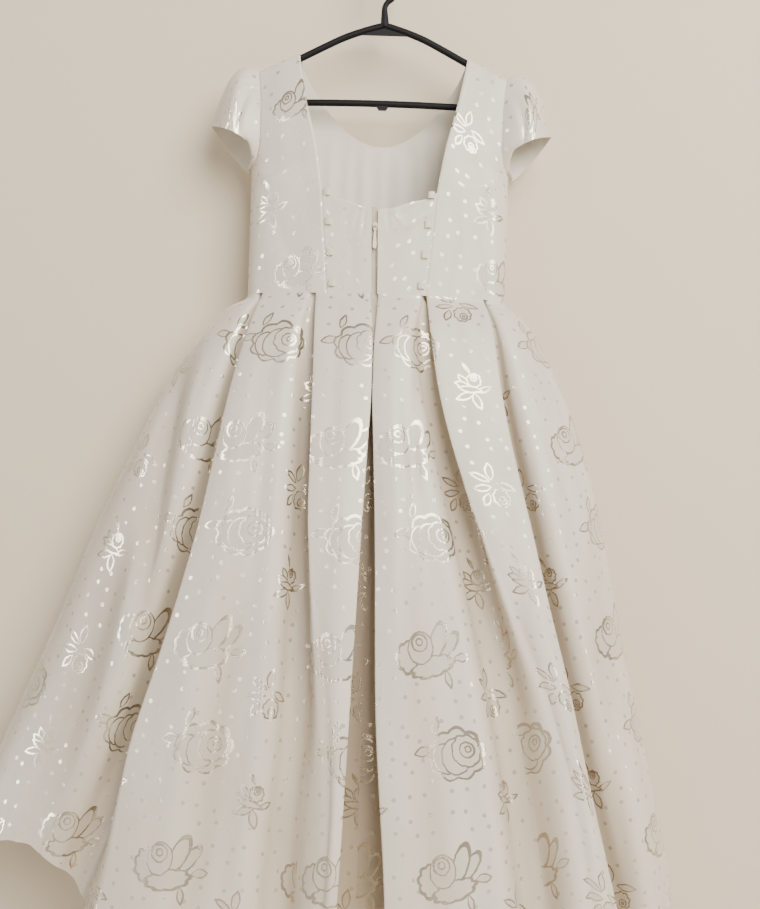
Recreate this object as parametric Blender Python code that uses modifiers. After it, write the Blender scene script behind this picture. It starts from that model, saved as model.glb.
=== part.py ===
"""A girl's formal dress hung on a one-piece plastic hanger, seen with its back to -Y.

The origin is where the hook hangs, +Z is up, and sizes are millimetres until they reach a mesh.
The bodice and the hanger are mirrored about x = 0. The skirt flares unevenly, so it is not.
"""

import math
from collections import namedtuple

import bmesh
import bpy
import numpy as np

MM = 0.001

# Cloth and seams
CLOTH = 1.2
SEAM = 0.34
EDGE_SEAM = 1.4
SKIRT_LENGTH = 775.0
FOLD = 1.6

# Heights
WAIST = -424.0
NECK_POINT_X = 105.0
ARM_TOP_X = 155.0
UNDERARM = -266.0
CLOTH_OVER_ARM = 1.7
SHOULDER_SLOPE = 0.5
SHOULDER_AT_NECK = -121.0

# Bodice ring
BODY_HALF = 159.5
BODY_BACK = 45.0
BODY_FRONT = 30.0
SHOULDER_FALL = 150.0
SHOULDER_ROUND = 0.6
SHOULDER_HALF_GAP = 0.8
RIDGE_WIDTH = 4.0
RIDGE_FALL = 5.0
PRINCESS_TOP = -299.0
PRINCESS_TOP_X = 70.0
PRINCESS_WAIST_X = 60.0
FRONT_SCOOP = 104.0
FRONT_SCOOP_POWER = 0.75
LINING_INSET = 3.0
LINING_DROP = 14.0
STRAP_SHARE = 0.6
FRONT_SHARES = (1.0, 0.91, 0.81, 0.7, 0.6, 0.59, 0.57, 0.53, 0.46, 0.36, 0.25, 0.13, 0.0)

# Sleeves: how far the gathered head stands up and out, and the hem over the shoulder and under the arm
SLEEVE_PUFF = 23.0
SLEEVE_OUT = 9.0
SLEEVE_BELLY = 3.0
SLEEVE_TUCK = 4.0
SLEEVE_TURNS = 25
SLEEVE_HEM_TOP = (212.0, -215.0)
SLEEVE_HEM_BOTTOM = (166.0, -266.5)
SLEEVE_HEM_BACK, SLEEVE_HEM_FRONT = (-6.0, 7.0, -34.0), (3.0, -9.0, 27.0)
SLEEVE_ROWS = (0.0, 0.08, 0.2, 0.36, 0.55, 0.77, 1.0)

# Hanger
ARM_RADIUS = 4.4
FRAME_RADIUS = 4.1
HOOK_RADIUS = 3.4
HOOK_INNER = 18.0
HOOK_STEM = ((0.0, -84.0), (-0.6, -70.0), (-0.8, -60.0), (2.5, -53.0), (9.0, -47.0))
HOOK_TURN = (-38.0, 205.0, 13.0)

# Lacing loops and zip
LOOP_SIDE = 8.0
LOOP_HEIGHTS = (-302.5, -338.0, -375.0, -412.0)
LOOP_FROM_SEAM = 6.5
LOOP_STAND = 2.6
TAPE = 0.8
TAPE_DEPTH = 3.8
ZIP_SHARE = 0.72
SLIDER_TOP = -338.0
SLIDER_LENGTH = 9.0
PULL_LENGTH = 27.0
PULL_WIDTH = 4.6
PULL_THICK = 1.2
PULL_STAND = 1.0
PULL_HALF_HEAD = 1.0
PIN_DROP = 4.5
PIN_RADIUS = 0.55
BORE_RADIUS = 0.85
BOSS_RADIUS = 1.7
EAR = 0.8
EAR_INNER = 1.35
EAR_HALF_HEIGHT = 1.5
SLIDER_SHIFT = -1.6
SLIDER_THICK = 2.0
TAPE_HEIGHTS = (-318.5, -350.0, -385.0, -424.2, -428.5, -440.0, -463.0, -486.0)
TAPE_CLEAR = 0.45

Level = namedtuple("Level", "z left right back front")
SKIRT = (
    Level(-424, 159.5, 159.5, 45, 30),
    Level(-429, 161, 161, 46.5, 31),
    Level(-440, 182, 178, 56, 33),
    Level(-463, 202, 198, 69, 36),
    Level(-487, 222, 212.5, 79, 38),
    Level(-517, 244, 227, 90, 40),
    Level(-549, 262, 242, 99, 42),
    Level(-610, 290, 265, 111, 43),
    Level(-707, 334, 291, 129, 45),
    Level(-824, 378, 316, 143, 46),
    Level(-980, 440, 353, 158, 47),
    Level(-1098, 501, 380, 167, 48),
    Level(-1210, 556, 400, 175, 48),
)

# A pleat's edge, the width of the valley beside it, the valley's depth, and the fold under the edge
Fold = namedtuple("Fold", "z edge mouth depth under")
PLEAT_L1 = (
    Fold(-424, -139, 9, 6, 7),
    Fold(-463, -150, 22, 13, 8),
    Fold(-545, -168, 40, 24, 10),
    Fold(-715, -198, 55, 34, 12),
    Fold(-905, -248, 66, 42, 13),
    Fold(-1090, -308, 80, 46, 12),
    Fold(-1210, -348, 88, 48, 10),
)
PLEAT_L2 = (
    Fold(-424, -72, 14, 6, 7),
    Fold(-463, -71, 24, 12, 8),
    Fold(-545, -69, 36, 22, 10),
    Fold(-715, -68, 50, 33, 12),
    Fold(-905, -70, 62, 40, 12),
    Fold(-1090, -76, 74, 44, 11),
    Fold(-1210, -80, 80, 46, 9),
)
PLEAT_R3 = (
    Fold(-424, 63, 12, 6, 7),
    Fold(-463, 67, 22, 12, 8),
    Fold(-545, 80, 34, 22, 9),
    Fold(-715, 131, 62, 35, 11),
    Fold(-905, 173, 76, 42, 12),
    Fold(-1090, 203, 84, 46, 11),
    Fold(-1210, 218, 88, 48, 9),
)
PLEAT_R4 = (
    Fold(-424, 131, 9, 6, 7),
    Fold(-463, 141, 18, 12, 8),
    Fold(-545, 153, 34, 24, 10),
    Fold(-715, 194, 46, 34, 12),
    Fold(-905, 243, 56, 40, 12),
    Fold(-1090, 290, 64, 44, 11),
    Fold(-1210, 320, 68, 46, 9),
)
PLEAT_FRONT_SIDE = (
    Fold(-424, 125, 10, 5.5, 7),
    Fold(-463, 140, 20, 10, 8),
    Fold(-545, 160, 36, 15, 9),
    Fold(-715, 200, 50, 19, 10),
    Fold(-905, 246, 62, 22, 10),
    Fold(-1210, 310, 84, 24, 9),
)
PLEAT_FRONT_INNER = (
    Fold(-424, 66, 12, 5.5, 7),
    Fold(-463, 68, 22, 10, 8),
    Fold(-545, 74, 36, 15, 9),
    Fold(-715, 92, 52, 19, 10),
    Fold(-905, 116, 64, 22, 10),
    Fold(-1210, 150, 80, 24, 9),
)

# The centre-back opening: the left and right folded edges, and the depth of the cloth behind them
Slit = namedtuple("Slit", "z left right depth under seam")
SLIT = (
    Slit(-300, -10.5, 1.0, 7, 7, 0.2),
    Slit(-322, -10.0, 1.0, 7, 7, 0.2),
    Slit(-424, -7.0, 3.0, 9, 8, 4.2),
    Slit(-463, -4.0, 1.6, 12, 9, 3.4),
    Slit(-492, -1.9, 0.3, 16, 10, 0.6),
    Slit(-545, -1.9, 0.5, 26, 12, 0.2),
    Slit(-610, -4.0, 4.0, 32, 13, 0.2),
    Slit(-715, -8.0, 9.0, 38, 14, 0.2),
    Slit(-905, -14.0, 16.0, 44, 15, 0.2),
    Slit(-1090, -20.0, 31.0, 48, 14, 0.2),
    Slit(-1210, -25.0, 38.0, 50, 13, 0.2),
)

Edge = namedtuple("Edge", "z x")
BACK_NECK = (
    Edge(-121, 105),
    Edge(-145, 101),
    Edge(-190, 92),
    Edge(-247, 78.5),
    Edge(-299, 70),
)
ARMHOLE = (
    Edge(-145, 155),
    Edge(-165, 152),
    Edge(-195, 149.5),
    Edge(-235, 149),
    Edge(-255, 152.5),
    Edge(-266, 158.5),
)
CENTRE_NECK = ((0.0, -322.0), (18.0, -320.0), (40.0, -311.5), (60.0, -307.0), (70.0, -299.0))

HANGER_ARM = (
    (0.0, -77.5), (25.0, -85.0), (50.0, -94.5), (75.0, -107.0),
)
HANGER_CORNER = (
    (146.0, -148.0), (149.5, -156.0), (150.0, -165.0), (146.5, -174.0),
    (139.0, -180.0), (128.0, -182.5),
)
BAR_MIDDLE = -180.0
BAR_BOW = 2.5
WEB_HALF = 34.0
WEB_LOW = -94.5
WEB_HALF_THICK = 1.6
NUB = ((-3.0, -181.0), (3.0, -181.0), (1.6, -186.5), (-1.6, -186.5))
NUB_HALF_THICK = 2.2

# How much shorter the skirt's cloth is than SKIRT_LENGTH where its hem reaches each x
Rise = namedtuple("Rise", "x rise")
HEM_RISE = (
    Rise(-506, 10), Rise(-470, 32), Rise(-430, 56), Rise(-405, 62), Rise(-385, 58),
    Rise(-360, 49), Rise(-340, 36), Rise(-328, 22), Rise(-300, 12), Rise(-240, 0), Rise(0, 0),
)
ROWS = (0.0, 0.006, 0.028, 0.062, 0.1, 0.15, 0.215, 0.3, 0.4, 0.51, 0.63, 0.75, 0.875, 1.0)

Finish = namedtuple("Finish", "colour roughness metallic")
IVORY = Finish((0.71, 0.65, 0.58), 0.45, 0.0)
LINING = Finish((0.72, 0.70, 0.60), 0.7, 0.0)
RIBBON = Finish((0.83, 0.80, 0.70), 0.4, 0.0)
BLACK = Finish((0.012, 0.012, 0.013), 0.4, 0.0)
METAL = Finish((0.45, 0.38, 0.30), 0.35, 1.0)


def clear_scene():
    for old in list(bpy.data.objects):
        bpy.data.objects.remove(old, do_unlink=True)


def new_collection(name):
    made = bpy.data.collections.new(name)
    bpy.context.scene.collection.children.link(made)
    return made


def material(name, finish):
    made = bpy.data.materials.new(name)
    made.use_nodes = True
    shader = made.node_tree.nodes["Principled BSDF"]
    shader.inputs["Base Color"].default_value = (*finish.colour, 1.0)
    shader.inputs["Roughness"].default_value = finish.roughness
    shader.inputs["Metallic"].default_value = finish.metallic
    return made


def add_object(name, data, finish):
    made = bpy.data.objects.new(name, data)
    made.data.materials.append(material(name + "_finish", finish))
    PARTS.objects.link(made)
    return made


def curve_through(rows, column, z):
    """Smooth monotone values of one table column at the heights z, by cubic pieces."""
    where = np.array([-row.z for row in rows], float)
    value = np.array([getattr(row, column) for row in rows], float)
    run = np.diff(where)
    slope = np.diff(value) / run
    tangent = np.concatenate([[slope[0]], np.zeros(len(rows) - 2), [slope[-1]]])
    same = slope[1:] * slope[:-1] > 0
    weight = (run[1:] + run[:-1]) * 1.5
    first, second = run[:-1] + 2 * run[1:], 2 * run[:-1] + run[1:]
    safe = np.where(same, slope[:-1], 1.0), np.where(same, slope[1:], 1.0)
    tangent[1:-1] = np.where(same, 2 * weight / (first / safe[1] + second / safe[0]), 0.0)
    at = np.clip(-np.asarray(z, float), where[0], where[-1])
    k = np.clip(np.searchsorted(where, at, side="right") - 1, 0, len(run) - 1)
    t = (at - where[k]) / run[k]
    return (
        value[k] * (1 + 2 * t) * (1 - t) ** 2
        + tangent[k] * run[k] * t * (1 - t) ** 2
        + value[k + 1] * t * t * (3 - 2 * t)
        + tangent[k + 1] * run[k] * t * t * (t - 1)
    )


def wall(name, grid, finish, flip=False, thickness=CLOTH):
    """A sheet through a grid of points, rows by columns, given its thickness about its middle."""
    grid = np.asarray(grid, float)
    rows, columns = grid.shape[:2]
    index = np.arange(rows * columns).reshape(rows, columns)
    quads = np.stack(
        [index[:-1, :-1], index[1:, :-1], index[1:, 1:], index[:-1, 1:]], axis=-1
    ).reshape(-1, 4)
    if flip:
        quads = quads[:, ::-1]
    mesh = bpy.data.meshes.new(name)
    mesh.from_pydata((grid.reshape(-1, 3) * MM).tolist(), [], quads.tolist())
    mesh.shade_smooth()
    made = add_object(name, mesh, finish)
    solid = made.modifiers.new("wall", "SOLIDIFY")
    solid.thickness = thickness * MM
    solid.offset = 0.0
    return made


def ring_wall(name, grid, finish, flip=False, thickness=CLOTH):
    """A tube-like sheet whose last column joins its first."""
    made = wall(name, np.asarray(grid), finish, flip, thickness)
    weld = made.modifiers.new("weld", "WELD")
    weld.merge_threshold = 0.00001
    made.modifiers.move(1, 0)
    return made


def skirt_point(x, depth, z, front=False):
    """A point of the skirt at the heights z: on its outline at x, moved in by a depth."""
    half = np.where(x < 0, curve_through(SKIRT, "left", z), curve_through(SKIRT, "right", z))
    deep = curve_through(SKIRT, "front" if front else "back", z)
    share = np.clip(x / half, -1.0, 1.0)
    fall = np.sqrt(np.maximum(0.0, 1.0 - share**2))
    if front:
        fall = np.sqrt(fall)
    y = deep * fall * (1.0 if front else -1.0)
    across = share / half
    along = y / deep**2
    length = np.hypot(across, along)
    return np.stack([x - depth * across / length, y - depth * along / length, z], axis=-1)


def fold_columns(rows, toward, z):
    """The places (x, depth) across one pleat, from its valley's far side to its folded edge."""
    edge, mouth, depth, under = (curve_through(rows, c, z) for c in Fold._fields[1:])
    steps = (
        (mouth, 0.0 * depth),
        (0.74 * mouth, 0.13 * depth),
        (0.45 * mouth, 0.52 * depth),
        (0.2 * mouth, 0.87 * depth),
        (1.0 - under, depth),
        (-under - 0.6, depth - 1.7),
        (-0.4 * under, 1.25 + 0.5 * FOLD + 0.3 * (depth - 2.0)),
        (0.2 + 0.0 * depth, FOLD + 0.9 + 0.0 * depth),
        (0.7 + 0.0 * depth, 0.9 + 0.0 * depth),
        (-1.6 + 0.0 * depth, 0.0 * depth),
    )
    return [(edge + toward * e, q) for e, q in steps]


def slit_columns(side, z):
    """The places (x, depth) from one folded edge of the centre back to the seam behind it."""
    edge = curve_through(SLIT, "right" if side > 0 else "left", z)
    depth, under = (curve_through(SLIT, c, z) for c in ("depth", "under"))
    seam = curve_through(SLIT, "seam", z)
    steps = (
        (-1.6 + 0.0 * depth, 0.0 * depth),
        (0.2 + 0.0 * depth, 0.9 + 0.0 * depth),
        (-0.2 + 0.0 * depth, FOLD + 0.9 + 0.0 * depth),
        (-0.5 * under, 1.5 + 0.5 * FOLD + 0.3 * (depth - 2.0)),
        (-under - 0.6, depth - 1.7),
        (1.0 - under, depth),
    )
    inner = [(edge - side * e, q) for e, q in steps]
    return inner + [(side * seam, depth + 1.0)]


def between(first, last, count):
    """Places spread evenly between two (x, depth) places, without the two ends."""
    return [
        (first[0] + (last[0] - first[0]) * k / (count + 1), 0.0 * first[1])
        for k in range(1, count + 1)
    ]


def side_run(side, last, z, count, gap):
    """Places from a side seam to the next pleat, close together where the outline turns."""
    half = curve_through(SKIRT, "left" if side < 0 else "right", z)
    end = np.arcsin(np.clip(last[0] / half, -1.0, 1.0))
    start = side * (math.pi / 2 - gap / curve_through(SKIRT, "back", z))
    return [
        (half * np.sin(start + (end - start) * k / (count + 1)), 0.0 * half)
        for k in range(count + 1)
    ]


def skirt_grid(columns, fine, front=False):
    """Rows spread evenly by the cloth's length down every column, from the waist to the hem."""
    lines = []
    for x, depth in columns:
        line = skirt_point(x, depth, fine, front)
        steps = np.linalg.norm(np.diff(line, axis=0), axis=1)
        run = np.concatenate([[0.0], np.cumsum(steps)])
        hem_x = np.interp(SKIRT_LENGTH, run, line[:, 0])
        rise = np.interp(hem_x, [row.x for row in HEM_RISE], [row.rise for row in HEM_RISE])
        at = np.array(ROWS) * (SKIRT_LENGTH - rise)
        lines.append(np.stack([np.interp(at, run, line[:, k]) for k in range(3)], axis=-1))
    return np.stack(lines, axis=1)


def build_skirt():
    top = WAIST - 0.5 * SEAM
    fine = np.concatenate([[top, top - 4.5], np.linspace(top - 8.0, -1209.5, 120)])
    l1 = fold_columns(PLEAT_L1, -1, fine)
    l2 = fold_columns(PLEAT_L2, -1, fine)
    left = side_run(-1, l1[0], fine, 4, 0.5 * SEAM) + l1
    left += between(l1[-1], l2[0], 3) + l2
    left_slit = slit_columns(-1, fine)
    left += between(l2[-1], left_slit[0], 2) + left_slit
    wall("skirt_back_left", skirt_grid(left, fine), IVORY)

    r3 = fold_columns(PLEAT_R3, -1, fine)
    r4 = fold_columns(PLEAT_R4, 1, fine)[::-1]
    right_slit = slit_columns(1, fine)[::-1]
    right = right_slit + between(right_slit[-1], r3[0], 2) + r3
    right += between(r3[-1], r4[0], 3) + r4
    right += side_run(1, r4[-1], fine, 4, 0.5 * SEAM)[::-1]
    wall("skirt_back_right", skirt_grid(right, fine), IVORY)

    def mirrored(columns):
        return [(-x, depth) for x, depth in columns]

    outer = fold_columns(PLEAT_FRONT_SIDE, 1, fine)
    inner = fold_columns(PLEAT_FRONT_INNER, 1, fine)
    half = side_run(1, outer[0], fine, 4, 0.5 * SEAM) + outer
    half += between(outer[-1], inner[0], 2) + inner
    other = side_run(-1, mirrored(outer)[0], fine, 4, 0.5 * SEAM) + mirrored(half)[5:]
    front = half + between(inner[-1], mirrored(inner)[-1], 4) + other[::-1]
    wall("skirt_front", skirt_grid(front, fine, front=True), IVORY)


def shoulder_line(x):
    return SHOULDER_AT_NECK - SHOULDER_SLOPE * (np.abs(x) - NECK_POINT_X)


def body_point(x, z, front=False, inset=0.0):
    """A point on the bodice: an ellipse in plan that closes to a round ridge at the shoulders."""
    share = np.abs(np.clip(x / (BODY_HALF - inset), -1.0, 1.0))
    high = np.clip((z - UNDERARM) / 60.0, 0.0, 1.0)
    curve = np.sqrt(1.0 - share**2) * (1.0 - high) + np.sqrt(1.0 - share**6) * high
    drop = np.maximum(0.0, shoulder_line(x) - z)
    open_up = np.minimum(1.0, drop / SHOULDER_FALL) ** SHOULDER_ROUND
    above_waist = np.clip((z - WAIST) / (UNDERARM - WAIST), 0.0, 1.0)
    ridge = SHOULDER_HALF_GAP + RIDGE_WIDTH * np.sqrt(np.minimum(1.0, drop / RIDGE_FALL))
    ridge = ridge * (high + (1.0 - high) * np.minimum(1.0, 2.0 * curve))
    deep = BODY_FRONT if front else BODY_BACK
    y = ridge * above_waist + deep * curve * open_up - inset * np.minimum(1.0, 3.0 * curve)
    y = np.maximum(y, SEAM)
    return np.stack([x, y if front else -y, z], axis=-1)


def edge_x(rows, z):
    return curve_through(rows, "x", z)


def princess_x(z):
    t = np.clip((z - WAIST) / (PRINCESS_TOP - WAIST), 0.0, 1.0)
    return PRINCESS_WAIST_X + (PRINCESS_TOP_X - PRINCESS_WAIST_X) * t


def panel_edge_heights(outer_end, inner_end):
    """Heights of the rows along the outer and inner edges of a shoulder panel."""
    bottom = WAIST + 0.5 * SEAM
    low = np.linspace(0.0, 1.0, 6)
    high = 0.5 * (1.0 - np.cos(math.pi * np.linspace(0.0, 1.0, 10)[1:]))
    outer = np.concatenate([bottom + (UNDERARM - bottom) * low,
                            UNDERARM + (outer_end - UNDERARM) * high])
    inner = np.concatenate([bottom + (PRINCESS_TOP - bottom) * low,
                            PRINCESS_TOP + (inner_end - PRINCESS_TOP) * high])
    return outer, inner


def outer_edge(z):
    """The side seam below the armhole, and the armhole's edge above it, as an angle in plan."""
    x = np.where(z > UNDERARM, edge_x(ARMHOLE, z), BODY_HALF)
    below = np.clip((UNDERARM - z) / 12.0, 0.0, 1.0)
    rounded = np.arcsin(np.clip(x / BODY_HALF, 0.0, 1.0))
    seam = math.pi / 2 - 0.8 * SEAM / BODY_FRONT
    return np.where(z > UNDERARM, rounded, rounded + (seam - rounded) * below)


def side_back(side, columns=7):
    """The side back panel, from the waist up to the shoulder seam."""
    outer_z, inner_z = panel_edge_heights(
        float(shoulder_line(ARM_TOP_X)), float(shoulder_line(NECK_POINT_X))
    )
    outer_a = outer_edge(outer_z)
    inner_x = np.where(inner_z > PRINCESS_TOP, edge_x(BACK_NECK, inner_z), princess_x(inner_z))
    inner_a = np.arcsin((inner_x + 0.5 * SEAM) / BODY_HALF)
    lines = []
    for s in np.linspace(0.0, 1.0, columns):
        x = BODY_HALF * np.sin(outer_a + (inner_a - outer_a) * s)
        z = outer_z + (inner_z - outer_z) * s
        lines.append(body_point(side * x, np.minimum(z, shoulder_line(x))))
    return np.stack(lines, axis=1)


def centre_back(side, columns=8):
    top_x = [p[0] for p in CENTRE_NECK]
    top_z = [p[1] for p in CENTRE_NECK]
    bottom = WAIST + 0.5 * SEAM
    lines = []
    t = np.linspace(0.0, 1.0, 7)
    name = "right" if side > 0 else "left"
    for k in range(columns + 2):
        if k < columns:
            s = k / (columns - 1)
            z = bottom + 0.0 * t
            for _ in range(3):
                edge = side * curve_through(SLIT, name, z) - 1.6
                x = princess_x(z) - 0.5 * SEAM + (edge - princess_x(z) + 0.5 * SEAM) * s
                z = bottom + (np.interp(x, top_x, top_z) - bottom) * t
            depth = 0.0 * t
        else:
            step, depth = ((1.8, 0.9), (1.4, FOLD + 0.9))[k - columns]
            x = edge + step
        line = body_point(side * x, z)
        line[:, 1] += depth
        lines.append(line)
    return np.stack(lines, axis=1)


def front_sheet(name, inset, finish):
    """A front from side to side: below the scoop it is whole, above it two straps."""
    outer_z, _ = panel_edge_heights(float(shoulder_line(ARM_TOP_X)), 0.0)
    outer_a = outer_edge(outer_z)
    t = (outer_z - outer_z[0]) / (outer_z[-1] - outer_z[0])
    half = BODY_HALF - inset
    drop = LINING_DROP if inset else 0.0
    lines = []
    for share in FRONT_SHARES + tuple(-s for s in FRONT_SHARES[-2::-1]):
        reach = abs(share)
        inside = min(1.0, reach / STRAP_SHARE)
        scoop_x = NECK_POINT_X * inside
        down = max(0.0, math.cos(0.5 * math.pi * scoop_x / NECK_POINT_X)) ** FRONT_SCOOP_POWER
        strap = max(0.0, (reach - STRAP_SHARE) / (1.0 - STRAP_SHARE))
        top_x = scoop_x + (ARM_TOP_X - NECK_POINT_X) * strap
        top_z = float(shoulder_line(top_x)) if strap else SHOULDER_AT_NECK - FRONT_SCOOP * down
        base = outer_z[0] + 0.3 * inset
        x = half * math.sin(outer_a[0] * reach) * (1.0 - t**0.9) + top_x * t**0.9
        z = base + (top_z - 0.7 * inset - base) * t
        mix = strap**1.5
        x = x + (half * np.sin(outer_a) - x) * mix
        z = z + (np.maximum(base, outer_z) - z) * mix
        z = np.minimum(z, shoulder_line(x) - drop)
        lines.append(body_point(math.copysign(1.0, share) * x, z, True, inset))
    return wall(name, np.stack(lines, axis=1), finish, thickness=CLOTH - 0.1 * inset)


def build_bodice():
    for side, name in ((-1, "left"), (1, "right")):
        wall("side_back_" + name, side_back(side), IVORY, flip=side < 0)
        wall("centre_back_" + name, centre_back(side), IVORY, flip=side < 0)
    front_sheet("bodice_front", 0.0, IVORY)
    front_sheet("bodice_front_lining", LINING_INSET, LINING)


def build_sleeves():
    """Each cap sleeve runs from the armhole to its hem, longest over the shoulder."""
    turn = np.linspace(0.0, 2 * math.pi, SLEEVE_TURNS)
    around = 0.5 * (1.0 - np.cos(turn))
    side_y = np.sin(turn)
    top = float(shoulder_line(ARM_TOP_X)) + 1.0
    ring_z = top + (UNDERARM + EDGE_SEAM - top) * around
    ring_x = edge_x(ARMHOLE, ring_z) + EDGE_SEAM
    back = -body_point(ring_x - EDGE_SEAM, ring_z)[:, 1]
    front = body_point(ring_x - EDGE_SEAM, ring_z, True)[:, 1]
    ring_y = np.where(side_y >= 0, -back, front) * np.minimum(1.0, np.abs(side_y) * 4.0)
    hem_x, hem_z = (
        SLEEVE_HEM_TOP[k] + (SLEEVE_HEM_BOTTOM[k] - SLEEVE_HEM_TOP[k]) * around for k in (0, 1)
    )
    out, up, deep = (
        np.where(side_y >= 0, SLEEVE_HEM_BACK[k], SLEEVE_HEM_FRONT[k]) * np.abs(side_y)
        for k in (0, 1, 2)
    )
    hem_x, hem_y, hem_z = hem_x + out, deep, hem_z + up
    lines = []
    for t in SLEEVE_ROWS:
        swell = math.sin(math.pi * t**0.75)
        head = (1.0 - around) ** 1.5
        stand = SLEEVE_OUT * head + SLEEVE_BELLY * (1.0 - head)
        x = ring_x + (hem_x - ring_x) * t + swell * stand
        y = ring_y + (hem_y - ring_y) * t**0.8 - SLEEVE_TUCK * swell * side_y
        z = ring_z + (hem_z - ring_z) * t + swell * SLEEVE_PUFF * head
        lines.append(np.stack([x, y, z], axis=-1))
    grid = np.stack(lines, axis=0)
    for side, name in ((-1, "left"), (1, "right")):
        ring_wall("sleeve_" + name, grid * (side, 1.0, 1.0), IVORY, flip=side > 0)


def smooth_path(points, per):
    """A closed or open path through points with `per` short steps between each two of them."""
    points = np.array(points, float)
    before = np.vstack([2 * points[0] - points[1], points[:-1]])
    after = np.vstack([points[1:], 2 * points[-1] - points[-2]])
    pull = 0.5 * (after - before)
    made = []
    for k in range(len(points) - 1):
        for t in np.arange(per) / per:
            made.append(
                points[k] * (1 + 2 * t) * (1 - t) ** 2
                + pull[k] * t * (1 - t) ** 2
                + points[k + 1] * t * t * (3 - 2 * t)
                + pull[k + 1] * t * t * (t - 1)
            )
    return np.array(made + [points[-1]])


def tube(name, path, radius, finish, cyclic=False, resolution=2):
    """A round rod along a path, as a mesh with welded caps."""
    curve = bpy.data.curves.new(name, "CURVE")
    curve.dimensions = "3D"
    curve.bevel_depth = radius * MM
    curve.bevel_resolution = resolution
    curve.use_fill_caps = not cyclic
    spline = curve.splines.new("POLY")
    spline.points.add(len(path) - 1)
    for point, place in zip(spline.points, path):
        point.co = (*(np.array(place) * MM), 1.0)
    spline.use_cyclic_u = cyclic
    drawn = bpy.data.objects.new(name, curve)
    PARTS.objects.link(drawn)
    bpy.context.view_layer.update()
    mesh = bpy.data.meshes.new_from_object(drawn.evaluated_get(bpy.context.evaluated_depsgraph_get()))
    bpy.data.objects.remove(drawn, do_unlink=True)
    shape = bmesh.new()
    shape.from_mesh(mesh)
    bmesh.ops.remove_doubles(shape, verts=shape.verts, dist=0.00001)
    bmesh.ops.recalc_face_normals(shape, faces=shape.faces)
    shape.to_mesh(mesh)
    shape.free()
    mesh.name = name
    mesh.shade_smooth()
    return add_object(name, mesh, finish)


def plate(name, outline, low_y, high_y, finish):
    """A flat plate in the XZ plane with a given outline, between two depths."""
    shape = bmesh.new()
    ring = [shape.verts.new((x * MM, low_y * MM, z * MM)) for x, z in outline]
    face = shape.faces.new(ring)
    made = bmesh.ops.extrude_face_region(shape, geom=[face])
    moved = [v for v in made["geom"] if isinstance(v, bmesh.types.BMVert)]
    bmesh.ops.translate(shape, verts=moved, vec=(0.0, (high_y - low_y) * MM, 0.0))
    bmesh.ops.recalc_face_normals(shape, faces=shape.faces)
    mesh = bpy.data.meshes.new(name)
    shape.to_mesh(mesh)
    shape.free()
    return add_object(name, mesh, finish)


def rod(name, centre, radius, length, finish, sides=12):
    """A short round rod along X."""
    bpy.ops.mesh.primitive_cylinder_add(
        vertices=sides, radius=radius * MM, depth=length * MM,
        location=[c * MM for c in centre], rotation=(0.0, math.pi / 2, 0.0),
    )
    made = bpy.context.active_object
    made.name = name
    for held in list(made.users_collection):
        held.objects.unlink(made)
    made.data.materials.append(material(name + "_finish", finish))
    PARTS.objects.link(made)
    return made


def combine(base, others, operation="UNION"):
    """Joins the other objects to the base, or cuts them from it, and keeps them as helpers."""
    for other in others:
        step = base.modifiers.new(other.name, "BOOLEAN")
        step.operation = operation
        step.solver = "EXACT"
        step.object = other
        for held in list(other.users_collection):
            held.objects.unlink(other)
        HELPERS.objects.link(other)
        other.hide_render = True
        other.display_type = "WIRE"


def arm_centre(x):
    """The height of the hanger's arm at x: the cloth rests on it from the neck outwards."""
    return float(shoulder_line(x)) - CLOTH_OVER_ARM - ARM_RADIUS


def build_hanger():
    arm = [(x, z - ARM_RADIUS) for x, z in HANGER_ARM]
    arm += [(x, arm_centre(x)) for x in (100.0, 120.0, 138.0)]
    half = arm + list(HANGER_CORNER)
    right = smooth_path([(x, 0.0, z) for x, z in half], 3)
    bar = [(x, 0.0, BAR_MIDDLE - BAR_BOW * (x / 125.0) ** 2) for x in (96.0, 64.0, 32.0)]
    loop = list(right) + bar + [(0.0, 0.0, BAR_MIDDLE)]
    loop += [(-x, y, z) for x, y, z in bar[::-1]] + [(-x, y, z) for x, y, z in right[:0:-1]]
    frame = tube("hanger", loop, FRAME_RADIUS, BLACK, cyclic=True)

    centre_radius = HOOK_INNER + HOOK_RADIUS
    turn = np.radians(np.arange(*HOOK_TURN))
    bow = [(centre_radius * math.cos(a), -HOOK_INNER + centre_radius * math.sin(a)) for a in turn]
    path = smooth_path([(x, 0.0, z) for x, z in list(HOOK_STEM) + bow[:1]], 3)[:-1]
    hook = tube("hook", list(path) + [(x, 0.0, z) for x, z in bow], HOOK_RADIUS, BLACK)
    web_outline = [(x, z - ARM_RADIUS) for x, z in HANGER_ARM[:3]]
    web_outline = [(-x, z) for x, z in web_outline[:0:-1]] + web_outline
    web_outline[0] = (-WEB_HALF, WEB_LOW)
    web_outline[-1] = (WEB_HALF, WEB_LOW)
    web = plate("web", web_outline, -WEB_HALF_THICK, WEB_HALF_THICK, BLACK)
    nub = plate("nub", NUB, -NUB_HALF_THICK, NUB_HALF_THICK, BLACK)
    combine(frame, [hook, web, nub])


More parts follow.
